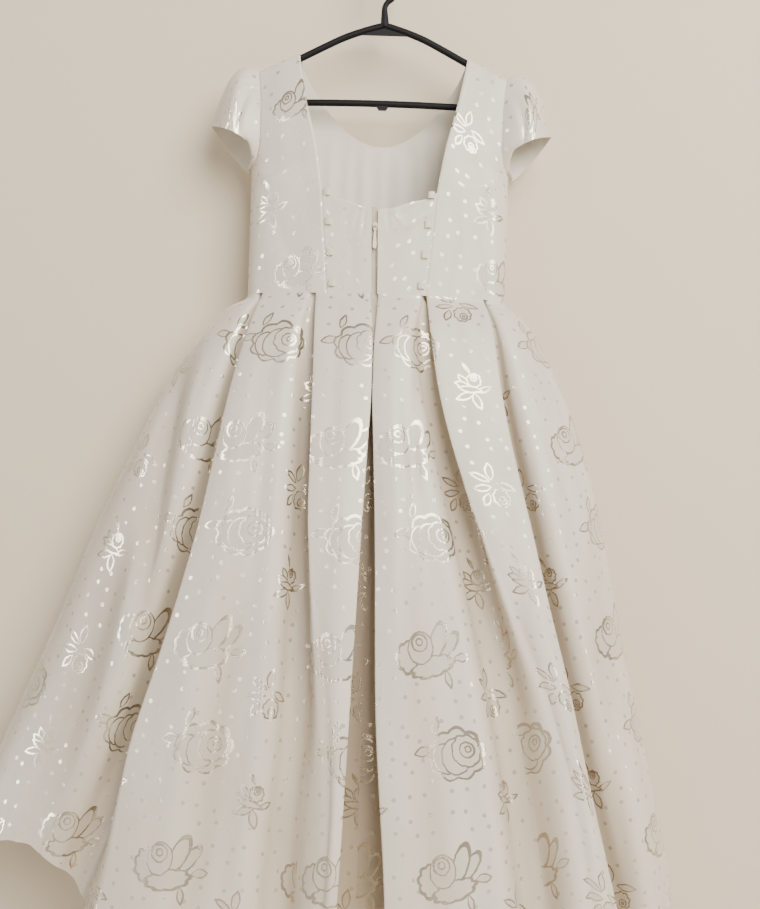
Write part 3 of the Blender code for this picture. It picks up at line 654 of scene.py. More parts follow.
@dataclass
class FloralPattern:
    """The tone-on-tone pattern: a few motifs in a repeat, with small spots between them. Sizes are mm."""

    name: str = "floral_pattern"
    repeat_across: float = 176.0
    repeat_down: float = 246.0
    spot_spacing: float = 21.0
    spot_radius: float = 2.5
    motifs: tuple[Motif, ...] = (
        Motif(ROSE_SIDE, 0.0, 187.0, 40.0),
        Motif(ROSE_OPEN, 22.0, 60.0, 38.0),
        Motif(BUD_LOW, 88.0, 110.0, 30.0),
        Motif(BUD_HIGH, 84.0, -4.0, 31.0),
    )

    def petal_group(self) -> bpy.types.NodeTree:
        """The group that draws one outline over what is drawn before it.

        The place is brought into the shape's own frame, where an ellipse's edge has length 1 and a leaf's
        edge has |y| + x squared = 1. Scallops add Lobes times |cos 4.5 a| to the edge at the angle a. A
        point inside takes the new line, and other points keep the old.

        Returns:
            A group that takes a place, a shape's values and what is drawn so far, and gives Lines and Body.
        """
        sockets = {"Place": VECTOR, "Centre": VECTOR, "Axis": VECTOR, "Cross": VECTOR, "Shift": VECTOR,
                   "Pointed": FLOAT, "Lobes": FLOAT, "Stroke": FLOAT, "Lines": FLOAT, "Body": FLOAT}
        nodes, given, end = new_group("petal", sockets, {"Lines": FLOAT, "Body": FLOAT})
        moved = nodes.vector("SUBTRACT", given["Place"], given["Centre"])
        along = nodes.vector("DOT_PRODUCT", moved, given["Axis"])
        aside = nodes.vector("DOT_PRODUCT", moved, given["Cross"])
        local = nodes.add("ShaderNodeCombineXYZ")
        nodes.feed(local.inputs[0], along)
        nodes.feed(local.inputs[1], aside)
        place = local.outputs[0]

        def size(at: object) -> bpy.types.NodeSocket:
            """How far out a place lies, where the shape's edge is at 1.

            Args:
                at: the place in the shape's own frame.

            Returns:
                A length, or |y| + x squared for a leaf.
            """
            x, y = nodes.split(at)
            tip = nodes.math("ADD", nodes.math("ABSOLUTE", y), nodes.math("MULTIPLY", x, x))
            return nodes.mix(given["Pointed"], nodes.vector("LENGTH", at), tip)

        x, y = nodes.split(place)
        turn = nodes.math("MULTIPLY", nodes.math("ARCTAN2", y, x), 4.5)
        wave = nodes.math("MULTIPLY", nodes.math("ABSOLUTE", nodes.math("COSINE", turn)), given["Lobes"])
        inside = nodes.math("LESS_THAN", nodes.math("SUBTRACT", size(place), wave), 1.0)
        hollow = nodes.math("SUBTRACT", size(nodes.vector("ADD", place, given["Shift"])), wave)
        line = nodes.math("GREATER_THAN", hollow, nodes.math("SUBTRACT", 1.0, given["Stroke"]))
        nodes.feed(end.inputs["Lines"], nodes.mix(inside, given["Lines"], line))
        nodes.feed(end.inputs["Body"], nodes.math("MAXIMUM", given["Body"], inside))
        return nodes.tree

    def build(self) -> bpy.types.NodeTree:
        """The whole pattern as one group.

        Returns:
            A group that takes a place on the cloth in metres, across and down, and gives three masks:
            Lines for the drawn outlines and spots, Body for the roses' ground, Spots for the spots alone.
        """
        petal = self.petal_group()
        nodes, given, end = new_group(
            self.name, {"Place": VECTOR}, {"Lines": FLOAT, "Body": FLOAT, "Spots": FLOAT})
        wander = nodes.noise(given["Place"], 160.0, 1.0)
        bend = nodes.vector("MULTIPLY", nodes.vector("SUBTRACT", wander.outputs["Color"], (0.5, 0.5, 0.5)),
                            (0.0016, 0.0016, 0.0))
        place = nodes.vector("ADD", given["Place"], bend)
        lines: object = 0.0
        body: object = 0.0
        free: object = 1.0
        for motif in self.motifs:
            half = np.array((self.repeat_across, self.repeat_down)) * MM / 2
            middle = np.array((motif.across, motif.down)) * MM
            moved = nodes.vector("SUBTRACT", place, (*middle, 0.0))
            cell = nodes.add("ShaderNodeVectorMath", operation="WRAP")
            nodes.feed(cell.inputs[0], moved)
            nodes.feed(cell.inputs[1], (*half, 1.0))
            nodes.feed(cell.inputs[2], (*-half, -1.0))
            scale = 1.0 / (MM * motif.size)
            local = nodes.vector("MULTIPLY", cell.outputs[0], (scale, -scale, 0.0))
            own_lines: object = 0.0
            own_body: object = 0.0
            for shape in motif.petals:
                made = nodes.add("ShaderNodeGroup", node_tree=petal)
                values = {"Place": local, "Lines": own_lines, "Body": own_body}
                for name, value in (values | shape.sockets(motif.size)).items():
                    nodes.feed(made.inputs[name], value)
                own_lines, own_body = made.outputs["Lines"], made.outputs["Body"]
            lines = nodes.math("MAXIMUM", lines, own_lines)
            body = nodes.math("MAXIMUM", body, own_body)
            far = nodes.math("GREATER_THAN", nodes.vector("LENGTH", local), motif.clear)
            free = nodes.math("MULTIPLY", free, far)
        spots = nodes.add("ShaderNodeTexVoronoi", voronoi_dimensions="2D", feature="F1")
        nodes.feed(spots.inputs["Vector"], given["Place"])
        nodes.feed(spots.inputs["Scale"], 1.0 / (self.spot_spacing * MM))
        nodes.feed(spots.inputs["Randomness"], 0.6)
        away = nodes.math("MULTIPLY", spots.outputs["Distance"], self.spot_spacing)
        spot = nodes.math("MULTIPLY", nodes.math("LESS_THAN", away, self.spot_radius), free)
        spot = nodes.math("MULTIPLY", spot, nodes.math("SUBTRACT", 1.0, body))
        nodes.feed(end.inputs["Lines"], nodes.math("MAXIMUM", lines, spot))
        nodes.feed(end.inputs["Body"], body)
        nodes.feed(end.inputs["Spots"], spot)
        return nodes.tree


BODICE_MOTIFS = {
    Side.LEFT: (
        Motif(ROSE_SIDE, 16.0, 70.0, 40.0, 0.7),
        Motif(BUD_LOW, -1.0, 200.0, 30.0, 0.95),
        Motif(ROSE_SIDE, 34.0, 281.0, 40.0, 0.76),
        Motif(BUD_HIGH, -140.0, 52.0, 31.0, 0.8),
    ),
    Side.RIGHT: (
        Motif(BUD_HIGH, -20.0, 106.0, 31.0, 0.85),
        Motif(BUD_LOW, -2.0, 198.0, 30.0, 0.95),
        Motif(ROSE_SIDE, 14.0, 271.0, 40.0, 0.76),
        Motif(ROSE_SIDE, -142.0, 44.0, 40.0, 0.6),
    ),
}


def new_material(name: str) -> tuple[bpy.types.Material, Nodes, bpy.types.Node]:
    """A material, its nodes and its Principled shader.

    Args:
        name: the material's name.

    Returns:
        The three.
    """
    made = bpy.data.materials.new(name)
    made.use_nodes = True
    nodes = Nodes(made.node_tree)
    return made, nodes, made.node_tree.nodes["Principled BSDF"]


@dataclass(frozen=True)
class Jacquard:
    """Ivory figured satin: a soft ground and lustrous drawn lines that glint where the light meets them."""

    ground: tuple[float, float, float] = (0.675, 0.613, 0.505)
    shade: tuple[float, float, float] = (0.61, 0.553, 0.458)
    thread: tuple[float, float, float] = (0.52, 0.46, 0.36)
    spot: tuple[float, float, float] = (0.60, 0.55, 0.47)
    body: tuple[float, float, float] = (0.50, 0.46, 0.37)
    # painted shade: the colour that the cloth darkens towards deep in its pleats and in the troughs of its creases
    in_pleats: tuple[float, float, float] = (0.64, 0.56, 0.45)
    body_share: float = 0.48
    ground_gloss: float = 0.46
    thread_gloss: float = 0.24
    thread_metal: float = 0.85
    spot_metal: float = 0.4

    def build(self, pattern: bpy.types.NodeTree) -> bpy.types.Material:
        """The material, which reads the cloth's own places from its UV map.

        Args:
            pattern: the woven pattern's group.

        Returns:
            The material.
        """
        made, nodes, shader = new_material(f"ivory_{pattern.name}")
        uv = nodes.add("ShaderNodeUVMap", uv_map="cloth").outputs[0]
        drawn = nodes.add("ShaderNodeGroup", node_tree=pattern)
        nodes.feed(drawn.inputs["Place"], uv)
        cloud = nodes.noise(nodes.vector("MULTIPLY", uv, (1.0, 0.25, 1.0)), 30.0, 3.0)
        ground = nodes.blend(nodes.ramp(cloud.outputs["Fac"], 0.3, 0.75), (*self.ground, 1.0), (*self.shade, 1.0))
        body = nodes.math("MULTIPLY", drawn.outputs["Body"], self.body_share)
        ground = nodes.blend(body, ground, (*self.body, 1.0))
        thread = nodes.blend(drawn.outputs["Spots"], (*self.thread, 1.0), (*self.spot, 1.0))
        colour = nodes.blend(drawn.outputs["Lines"], ground, thread)
        # painted shade: the mesh attribute 'deep' darkens the colour towards the pleat shade colour in pleats and
        # crease troughs
        deep = nodes.add("ShaderNodeAttribute", attribute_name="deep").outputs["Fac"]
        painted_shade = nodes.blend(deep, (1.0, 1.0, 1.0, 1.0), (*self.in_pleats, 1.0))
        colour = nodes.vector("MULTIPLY", colour, painted_shade)
        nodes.feed(shader.inputs["Base Color"], colour)
        gloss = nodes.mix(drawn.outputs["Body"], self.ground_gloss, self.ground_gloss - 0.08)
        nodes.feed(shader.inputs["Roughness"], nodes.mix(drawn.outputs["Lines"], gloss, self.thread_gloss))
        metal = nodes.mix(drawn.outputs["Spots"], self.thread_metal, self.spot_metal)
        nodes.feed(shader.inputs["Metallic"], nodes.math("MULTIPLY", drawn.outputs["Lines"], metal))
        weave = nodes.noise(nodes.vector("MULTIPLY", uv, (1.0, 0.16, 1.0)), 900.0, 2.0)
        nodes.bump(shader, weave.outputs["Fac"], 0.00006, 0.6)
        shader.inputs["Sheen Weight"].default_value = 0.25
        shader.inputs["Sheen Roughness"].default_value = 0.4
        shader.inputs["Specular IOR Level"].default_value = 0.42
        return made


@dataclass(frozen=True)
class PlainCloth:
    """A plain woven cloth with fine threads: lining, ribbon or zip tape."""

    name: str
    colour: tuple[float, float, float]
    gloss: float
    sheen: float
    threads: float

    def build(self) -> bpy.types.Material:
        """The material, whose threads follow the cloth's UV map.

        Returns:
            The material.
        """
        made, nodes, shader = new_material(self.name)
        uv = nodes.add("ShaderNodeUVMap", uv_map="cloth").outputs[0]
        noise = nodes.noise(nodes.vector("MULTIPLY", uv, (1.0, 0.2, 1.0)), self.threads, 3.0)
        dark = tuple(c * 0.93 for c in self.colour)
        nodes.feed(shader.inputs["Base Color"], nodes.blend(noise.outputs["Fac"], (*self.colour, 1.0), (*dark, 1.0)))
        nodes.bump(shader, noise.outputs["Fac"], 0.0001, 0.5)
        shader.inputs["Roughness"].default_value = self.gloss
        shader.inputs["Sheen Weight"].default_value = self.sheen
        return made


@dataclass(frozen=True)
class Smooth:
    """A hard finish: moulded plastic, metal or paint, with a faint unevenness."""

    name: str
    colour: tuple[float, float, float]
    gloss: float
    metal: float = 0.0
    grain: float = 400.0
    rough: float = 0.00005
    specular: float = 0.5

    def build(self) -> bpy.types.Material:
        """The material, whose grain follows Object coordinates.

        Returns:
            The material.
        """
        made, nodes, shader = new_material(self.name)
        place = nodes.add("ShaderNodeTexCoord").outputs["Object"]
        grain = nodes.noise(place, self.grain, 4.0, flat=False).outputs["Fac"]
        gloss = nodes.ramp(grain, 0.2, 0.8, self.gloss - 0.05, self.gloss + 0.05)
        nodes.feed(shader.inputs["Roughness"], gloss)
        nodes.bump(shader, grain, self.rough, 0.4)
        shader.inputs["Base Color"].default_value = (*self.colour, 1.0)
        shader.inputs["Metallic"].default_value = self.metal
        shader.inputs["Specular IOR Level"].default_value = self.specular
        return made


@dataclass
class Wardrobe:
    """All the finishes of the dress, made once."""

    jacquard: bpy.types.Material = field(init=False)
    bodice: dict[Side, bpy.types.Material] = field(init=False)
    reverse: bpy.types.Material = field(init=False)
    lining: bpy.types.Material = field(init=False)
    ribbon: bpy.types.Material = field(init=False)
    tape: bpy.types.Material = field(init=False)
    metal: bpy.types.Material = field(init=False)
    plastic: bpy.types.Material = field(init=False)

    def __post_init__(self) -> None:
        """Makes the materials."""
        self.jacquard = Jacquard().build(FloralPattern().build())
        own = {side: FloralPattern(f"bodice_{side.word}", 400.0, 400.0, motifs=BODICE_MOTIFS[side]) for side in Side}
        self.bodice = {side: Jacquard().build(pattern.build()) for side, pattern in own.items()}
        self.reverse = PlainCloth("jacquard_reverse", (0.62, 0.57, 0.49), 0.6, 0.2, 500.0).build()
        self.lining = PlainCloth("cream_lining", (0.70, 0.645, 0.52), 0.55, 0.3, 350.0).build()
        self.ribbon = PlainCloth("cream_ribbon", (0.66, 0.59, 0.41), 0.35, 0.3, 700.0).build()
        self.tape = PlainCloth("zip_tape_cloth", (0.50, 0.43, 0.33), 0.6, 0.2, 600.0).build()
        self.metal = Smooth("dulled_metal", (0.38, 0.33, 0.27), 0.42, 1.0, 900.0).build()
        self.plastic = Smooth("black_plastic", (0.005, 0.005, 0.0055), 0.5, 0.0, 500.0, 0.00004, 0.12).build()


@dataclass
class Cloth:
    """A sheet of cloth through a grid of points, made as a thin closed shell.

    The grid is rows by columns of points in mm. Outward is 1 where the grid's own normal points out of the
    garment and -1 where it points in. Deep is the painted shade at each point, from 0 to 1, which darkens the
    cloth's colour deep in its pleats and in the troughs of its creases, and ease is how far down the pattern moves
    at the top edge, fading to none 330 mm below it.
    """

    name: str
    grid: np.ndarray
    outward: int
    thickness: float = 1.0
    closed: bool = False
    lanes: tuple[Lane, ...] = ()
    deep: np.ndarray | None = None
    ease: float = 0.0

    def quads(self) -> np.ndarray:
        """The corner indices of each cell of the grid.

        Returns:
            Cells by 4.
        """
        rows, columns = self.grid.shape[:2]
        index = np.arange(rows * columns).reshape(rows, columns)
        return np.stack([index[:-1, :-1], index[1:, :-1], index[1:, 1:], index[:-1, 1:]], -1).reshape(-1, 4)

    def places(self) -> np.ndarray:
        """Each cell corner's place on the flat cloth.

        It is the arc length across from the lane's own column, and the length of cloth down its column.

        Returns:
            Cells by 4 corners by 2, in metres.
        """
        rows, columns = self.grid.shape[:2]
        across, down = arc(self.grid, 1), arc(self.grid, 0)
        down = down - self.ease * np.clip(1.0 - down / 330.0, 0.0, 1.0)
        lanes = self.lanes or (Lane(0, columns - 1, columns // 2),)
        corner_rows, corner_columns = np.divmod(self.quads(), columns)
        column = corner_columns[:, 0]
        u, v = across[corner_rows, corner_columns], down[corner_rows, corner_columns]
        for lane in lanes:
            here = (column >= lane.first) & (column < lane.last)
            u[here] += lane.shift - across[corner_rows[here], lane.ref]
        return np.stack([u, v], -1) * MM

    def build(self, finish: bpy.types.Material, inner: bpy.types.Material) -> bpy.types.Object:
        """The object, with its outer face, its inner face and the edges between them.

        Args:
            finish: the outer face's and the edges' material.
            inner: the inner face's material.

        Returns:
            The new object, linked to the scene.
        """
        rows, columns = self.grid.shape[:2]
        normals = grid_normals(self.grid, self.closed) * self.outward
        half = 0.5 * self.thickness
        outer, back = self.grid + half * normals, self.grid - half * normals
        if self.closed:
            outer[:, -1], back[:, -1] = outer[:, 0], back[:, 0]
        quads, count = self.quads(), rows * columns
        front = quads if self.outward < 0 else quads[:, ::-1]
        index = np.arange(count).reshape(rows, columns)
        runs = [index[0], index[-1][::-1]]
        if not self.closed:
            runs += [index[::-1, 0], index[:, -1]]
        rims = np.concatenate([
            np.stack([run[:-1], run[1:], run[1:] + count, run[:-1] + count], -1) for run in runs
        ])
        if self.outward > 0:
            rims = rims[:, ::-1]
        faces = np.concatenate([front, front[:, ::-1] + count, rims])
        points = np.concatenate([outer.reshape(-1, 3), back.reshape(-1, 3)]) * MM
        flat = self.places()
        flat = flat if self.outward < 0 else flat[:, ::-1]
        edge = np.zeros((len(rims), 4, 2))
        uv = np.concatenate([flat, flat[:, ::-1], edge]).reshape(-1)
        mesh = bpy.data.meshes.new(self.name)
        mesh.from_pydata(points.tolist(), [], faces.tolist())
        layer = mesh.uv_layers.new(name="cloth")
        layer.data.foreach_set("uv", uv.astype(np.float32))
        # painted shade: each point's share of it, kept as the mesh attribute 'deep' that the material darkens its
        # colour by
        deep = np.zeros((rows, columns)) if self.deep is None else self.deep
        shade = mesh.attributes.new("deep", "FLOAT", "POINT")
        shade.data.foreach_set("value", np.tile(deep.reshape(-1), 2).astype(np.float32))
        slots = np.zeros(len(faces), np.int32)
        slots[len(front):2 * len(front)] = 1
        mesh.materials.append(finish)
        mesh.materials.append(inner)
        mesh.polygons.foreach_set("material_index", slots)
        mesh.shade_smooth()
        if self.closed:
            weld_seam(mesh)
        mesh.set_sharp_from_angle(angle=math.radians(55))
        mesh.update()
        made = add_object(self.name, mesh)
        LOG.info("%s: %d faces, %.3f m2", self.name, len(faces), sheet_area(mesh))
        return made


def weld_seam(mesh: bpy.types.Mesh) -> None:
    """Joins the points that lie on each other where a ring closes.

    Args:
        mesh: the ring's mesh, which is changed.
    """
    shape = bmesh.new()
    shape.from_mesh(mesh)
    bmesh.ops.remove_doubles(shape, verts=shape.verts, dist=0.000002)
    shape.to_mesh(mesh)
    shape.free()


def sheet_area(mesh: bpy.types.Mesh) -> float:
    """Half of a shell's whole surface, in square metres.

    Args:
        mesh: the shell.

    Returns:
        The area of its sheet.
    """
    area = np.empty(len(mesh.polygons), np.float32)
    mesh.polygons.foreach_get("area", area)
    return float(area.sum()) / 2


@dataclass(frozen=True)
class Cut:
    """The flat piece that a sheet was cut as: its width, length and area, in metres and square metres."""

    width: float
    length: float
    area: float


def hang(
    cloth: Cloth, node: str, finish: bpy.types.Material, inner: bpy.types.Material,
) -> bpy.types.Object:
    """Builds a sheet, hangs it from the root body and hides the CAD node that it replaces.

    Args:
        cloth: the sheet.
        node: the CAD node that it replaces.
        finish: the outer face's material.
        inner: the inner face's material.

    Returns:
        The new object.
    """
    made = cloth.build(finish, inner)
    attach(made, "root")
    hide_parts(node)
    return made


@dataclass
class Skirt:
    """The pleated skirt: a back in two parts either side of the centre pleat, and a whole front."""

    length: float = 775.0
    rows: int = 125
    step: float = 7.0
    fold: float = 1.6
    # painted shade: full at a pleat depth of full_shade mm, and pleat_shade is its share away from the centre back's
    # slit
    full_shade: float = 24.0
    pleat_shade: float = 0.6
    thickness: float = 1.1
    bulge: float = 7.0
    seam: float = 0.05
    ease: float = 20.0
    back_creases: tuple[Crease, ...] = (
        Crease((-232, -500), (-262, -800), 17, -13.0, 3, 0.35),
        Crease((-212, -520), (-300, -900), 17, 4.0, 4, 0.3),
        Crease((-276, -690), (-372, -1060), 30, -11.0, 4, 0.35),
        Crease((-400, -900), (-462, -1110), 18, 5.0, 0, 0.3),
        Crease((-120, -440), (-150, -700), 12, -2.2, 3, 0.4),
        Crease((-150, -760), (-190, -1150), 26, -9.0, -5, 0.35),
        Crease((-100, -640), (-118, -1120), 20, 3.5, 3, 0.4),
        Crease((-40, -440), (-44, -760), 9, -1.8, 2, 0.4),
        Crease((-48, -800), (-50, -1150), 15, -2.8, -2, 0.3),
        Crease((53, -430), (50, -700), 7, -3.0, 0, 0.3),
        Crease((28, -460), (36, -800), 10, 2.2, 2, 0.4),
        Crease((60, -760), (92, -1160), 26, -6.5, 4, 0.3),
        Crease((100, -430), (112, -600), 9, -2.0, 0, 0.4),
        Crease((160, -640), (190, -900), 13, -2.8, -3, 0.4),
        Crease((230, -860), (250, -1170), 16, 3.0, 3, 0.3),
        Crease((205, -520), (250, -760), 12, -2.6, -4, 0.35),
        Crease((266, -740), (322, -1140), 20, -7.0, -4, 0.3),
    )
    front_creases: tuple[Crease, ...] = (
        Crease((-230, -560), (-300, -900), 20, -4.0, 4, 0.3),
        Crease((-330, -820), (-420, -1080), 24, -4.5, 0, 0.3),
        Crease((-120, -460), (-160, -760), 14, -2.5, 3, 0.4),
        Crease((-180, -800), (-220, -1150), 24, -4.0, -4, 0.3),
        Crease((-30, -440), (-36, -820), 16, -3.0, 3, 0.4),
        Crease((40, -700), (52, -1160), 28, -4.5, -3, 0.3),
        Crease((110, -450), (140, -740), 13, -2.6, -3, 0.4),
        Crease((190, -760), (230, -1150), 22, -3.8, 3, 0.3),
        Crease((240, -600), (300, -1100), 18, -3.4, 4, 0.3),
    )

    def outline_point(self, x: np.ndarray, depth: np.ndarray, z: np.ndarray, front: bool) -> np.ndarray:
        """A point on the skirt's outline at x, moved in by a depth along the ellipse's normal.

        Args:
            x: across, in mm.
            depth: how far in.
            z: height.
            front: the front in place of the back.

        Returns:
            Points, with x, y and z in the last axis.
        """
        half = np.where(x < 0, SKIRT_OUTLINE.at("left", z), SKIRT_OUTLINE.at("right", z))
        deep = SKIRT_OUTLINE.at("front" if front else "back", z)
        share = np.clip(x / half, -1.0, 1.0)
        fall = np.sqrt(np.maximum(0.0, 1.0 - share**2))
        fall = np.sqrt(fall) if front else fall
        y = deep * fall * (1.0 if front else -1.0)
        across, along = share / half, y / deep**2
        length = np.hypot(across, along)
        return np.stack(np.broadcast_arrays(x - depth * across / length, y - depth * along / length, z), -1)

    def fold_columns(
        self, table: Table, toward: int, z: np.ndarray, soft: tuple[float, float, float] = (-1400.0, -1500.0, 0.0),
    ) -> list[tuple[np.ndarray, np.ndarray]]:
        """The places across one pleat, from its valley's far side to its folded edge.

        Args:
            table: the pleat's sizes by height.
            toward: the side that the valley lies on, as the sign of x.
            z: the heights.
            soft: the heights between which the folded edge opens into a rounded valley, and the share of
                its depth that the valley loses there.

        Returns:
            The (x, depth) of each column.
        """
        edge, mouth, depth, under = (table.at(name, z) for name in FOLD_NAMES[1:])
        still = 0.0 * depth
        open_share = smooth_step(np.clip((soft[0] - z) / (soft[0] - soft[1]), 0.0, 1.0))
        steps = (
            (mouth, still), (0.66 * mouth, 0.08 * depth), (0.47 * mouth, 0.38 * depth),
            (0.36 * mouth, 0.88 * depth), (1.0 - under, depth), (-under - 0.6, depth - 1.7),
            (-0.4 * under, 1.25 + 0.5 * self.fold + 0.3 * (depth - 2.0)),
            (0.2 + still, self.fold + 0.9 + still), (0.7 + still, 0.9 + still), (-1.6 + still, still),
        )
        rounded = ((-1.0, 0.94), (-8.0, 0.7), (-16.0, 0.4), (-24.0, 0.17), (-32.0, 0.04), (-41.0, 0.0))
        made = [(edge + toward * e, q * (1.0 - soft[2] * open_share)) for e, q in steps[:4]]
        for (e, q), (soft_e, soft_q) in zip(steps[4:], rounded):
            e = e + (soft_e - e) * open_share
            q = q + (soft_q * depth * (1.0 - soft[2]) - q) * open_share
            made.append((edge + toward * e, q))
        return made

    def slit_columns(self, side: Side, z: np.ndarray) -> list[tuple[np.ndarray, np.ndarray]]:
        """The places from one folded edge of the centre back to the seam behind it.

        Args:
            side: which edge.
            z: the heights.

        Returns:
            The (x, depth) of each column.
        """
        edge = SLIT.at("right" if side is Side.RIGHT else "left", z)
        depth, under, seam = SLIT.at("depth", z), SLIT.at("under", z), SLIT.at("seam", z)
        still = 0.0 * depth
        steps = (
            (-1.6 + still, still), (0.2 + still, 0.9 + still), (-0.2 + still, self.fold + 0.9 + still),
            (-0.5 * under, 1.5 + 0.5 * self.fold + 0.3 * (depth - 2.0)), (-under - 0.6, depth - 1.7),
            (1.0 - under, depth),
        )
        return [(edge - side.value * e, q) for e, q in steps] + [(side.value * (seam - 0.15), depth + 1.0)]

    def between(self, first: tuple, last: tuple, count: int, z: np.ndarray, amount: float = 1.0) -> list:
        """Places spread between two pleats, bulged out as a rolled pleat is.

        Args:
            first: the (x, depth) that they start after.
            last: the (x, depth) that they end before.
            count: how many.
            z: the heights.
            amount: the bulge's share.

        Returns:
            The (x, depth) of each column.
        """
        swell = amount * self.bulge * np.clip((WAIST - z) / 260.0, 0.0, 1.0) ** 0.8
        made = []
        for k in range(1, count + 1):
            s = k / (count + 1)
            made.append((first[0] + (last[0] - first[0]) * s, -swell * math.sin(math.pi * s) ** 0.8))
        return made

    def side_run(self, side: Side, last: tuple, z: np.ndarray, count: int) -> list:
        """Places from a side seam to the next pleat, close together where the outline turns.

        Args:
            side: which seam.
            last: the (x, depth) that they end before.
            z: the heights.
            count: how many, less one.

        Returns:
            The (x, depth) of each column.
        """
        half = SKIRT_OUTLINE.at("left" if side is Side.LEFT else "right", z)
        end = np.arcsin(np.clip(last[0] / half, -1.0, 1.0))
        start = side.value * (math.pi / 2 - self.seam / SKIRT_OUTLINE.at("back", z))
        turns = [start + (end - start) * k / (count + 1) for k in range(count + 1)]
        return [(half * np.sin(turn), 0.0 * half) for turn in turns]

    def cloth(self, columns: list, z: np.ndarray, front: bool) -> tuple[np.ndarray, np.ndarray, list[int]]:
        """Rows spread by the cloth's length down every fine column, with the creases.

        Args:
            columns: coarse (x, depth) columns.
            z: the fine heights that they are given at.
            front: the front of the skirt in place of its back.

        Returns:
            The grid, the painted shade at each point from 0 to 1, darker deeper in a pleat and in a crease's trough,
            and the fine index of each coarse column.
        """
        x, depth, marks = refine(columns, self.step)
        points = self.outline_point(x, depth, z[None, :] + 0.0 * x, front)
        run = arc(points, 1)
        points = np.concatenate([points, depth[..., None]], -1)
        lines = []
        for line, length in zip(points, run):
            hem_x = np.interp(self.length, length, line[:, 0])
            at = np.linspace(0.0, 1.0, self.rows) ** 1.15 * (self.length - np.interp(hem_x, HEM_RISE_X, HEM_RISE))
            lines.append(np.stack([np.interp(at, length, line[:, k]) for k in range(4)], -1))
        grid = np.stack(lines, 1)
        # painted shade in the pleats: full at the centre back's slit, weaker elsewhere, growing with each point's
        # depth in its pleat
        centre = 0.0 if front else 1.0
        share = self.pleat_shade + (1.0 - self.pleat_shade) * centre * np.exp(-(((grid[..., 0] - 3.0) / 45.0) ** 4))
        deep = np.clip(grid[..., 3] / self.full_shade, 0.0, 1.0) ** 0.8 * share
        grid = grid[..., :3]
        normals = grid_normals(grid, False)
        facing = normals * np.where(normals[..., 1:2] > 0, 1.0, -1.0) * (1.0 if front else -1.0)
        lift = sum(crease.lift(grid[..., 0], grid[..., 2])
                   for crease in (self.front_creases if front else self.back_creases))
        below = np.clip((WAIST - 4.0 - grid[..., 2]) / 40.0, 0.0, 1.0)
        across = arc(grid, 1)
        lift = lift * below * (1.0 - np.exp(-across / 12.0)) * (1.0 - np.exp(-(across[:, -1:] - across) / 12.0))
        # the troughs of the creases add painted shade too
        deep = np.clip(deep + np.clip(-lift / 22.0, 0.0, 0.5), 0.0, 1.0)
        return grid + facing * lift[..., None], deep, marks

    def sheet(self, node: str, grid: np.ndarray, y: float, lanes: tuple[Lane, ...], deep: np.ndarray) -> Cloth:
        """One of the skirt's sheets.

        Args:
            node: the CAD node that it replaces.
            grid: its points.
            y: the way that it faces along Y, as a sign.
            lanes: its stretches of the pattern.
            deep: the painted shade at each point, darker deeper in a pleat.

        Returns:
            The sheet, ready to build.
        """
        turned = way_out(grid, y)
        return Cloth(f"{node}_cloth", grid, turned, self.thickness, lanes=lanes, deep=deep, ease=self.ease)

    def build(self, finishes: Wardrobe) -> list[bpy.types.Object]:
        """The three parts of the skirt.

        Args:
            finishes: the materials.

        Returns:
            The objects.
        """
        top = WAIST - self.seam
        z = np.concatenate([[top, top - 2.0, top - 4.5], np.linspace(top - 7.0, -1209.5, 260)])
        l1 = self.fold_columns(PLEAT_L1, -1, z, (-930.0, -1150.0, 0.2))
        l2 = self.fold_columns(PLEAT_L2, -1, z, (-660.0, -1040.0, 0.4))
        slit = self.slit_columns(Side.LEFT, z)
        left = self.side_run(Side.LEFT, l1[0], z, 6) + l1
        first = len(left)
        left += self.between(l1[-1], l2[0], 5, z) + l2
        second = len(left)
        left += self.between(l2[-1], slit[0], 3, z, 0.55) + slit
        grid, deep, marks = self.cloth(left, z, False)
        lanes = (
            Lane(0, marks[12], marks[9]), Lane(marks[12], marks[first + 10], marks[first + 2]),
            Lane(marks[first + 10], len(grid[0]), marks[second + 1]),
        )
        pieces = [self.sheet("skirt_back_left", grid, -1.0, lanes, deep)]

        r3 = self.fold_columns(PLEAT_R3, -1, z, (-640.0, -990.0, 0.25))
        r4 = self.fold_columns(PLEAT_R4, 1, z)[::-1]
        slit = self.slit_columns(Side.RIGHT, z)[::-1]
        right = slit + self.between(slit[-1], r3[0], 4, z)
        first = len(right)
        right += r3 + self.between(r3[-1], r4[0], 4, z, 0.8)
        second = len(right)
        right += r4 + self.side_run(Side.RIGHT, r4[-1], z, 6)[::-1]
        grid, deep, marks = self.cloth(right, z, False)
        lanes = (
            Lane(0, marks[first + 4], marks[9], -13.0),
            Lane(marks[first + 4], marks[second + 5], marks[first + 11], 80.0),
            Lane(marks[second + 5], len(grid[0]), marks[-4], 10.0),
        )
        pieces.append(self.sheet("skirt_back_right", grid, -1.0, lanes, deep))

        def mirrored(columns: list) -> list:
            """Columns on the other side."""
            return [(-x, depth) for x, depth in columns]

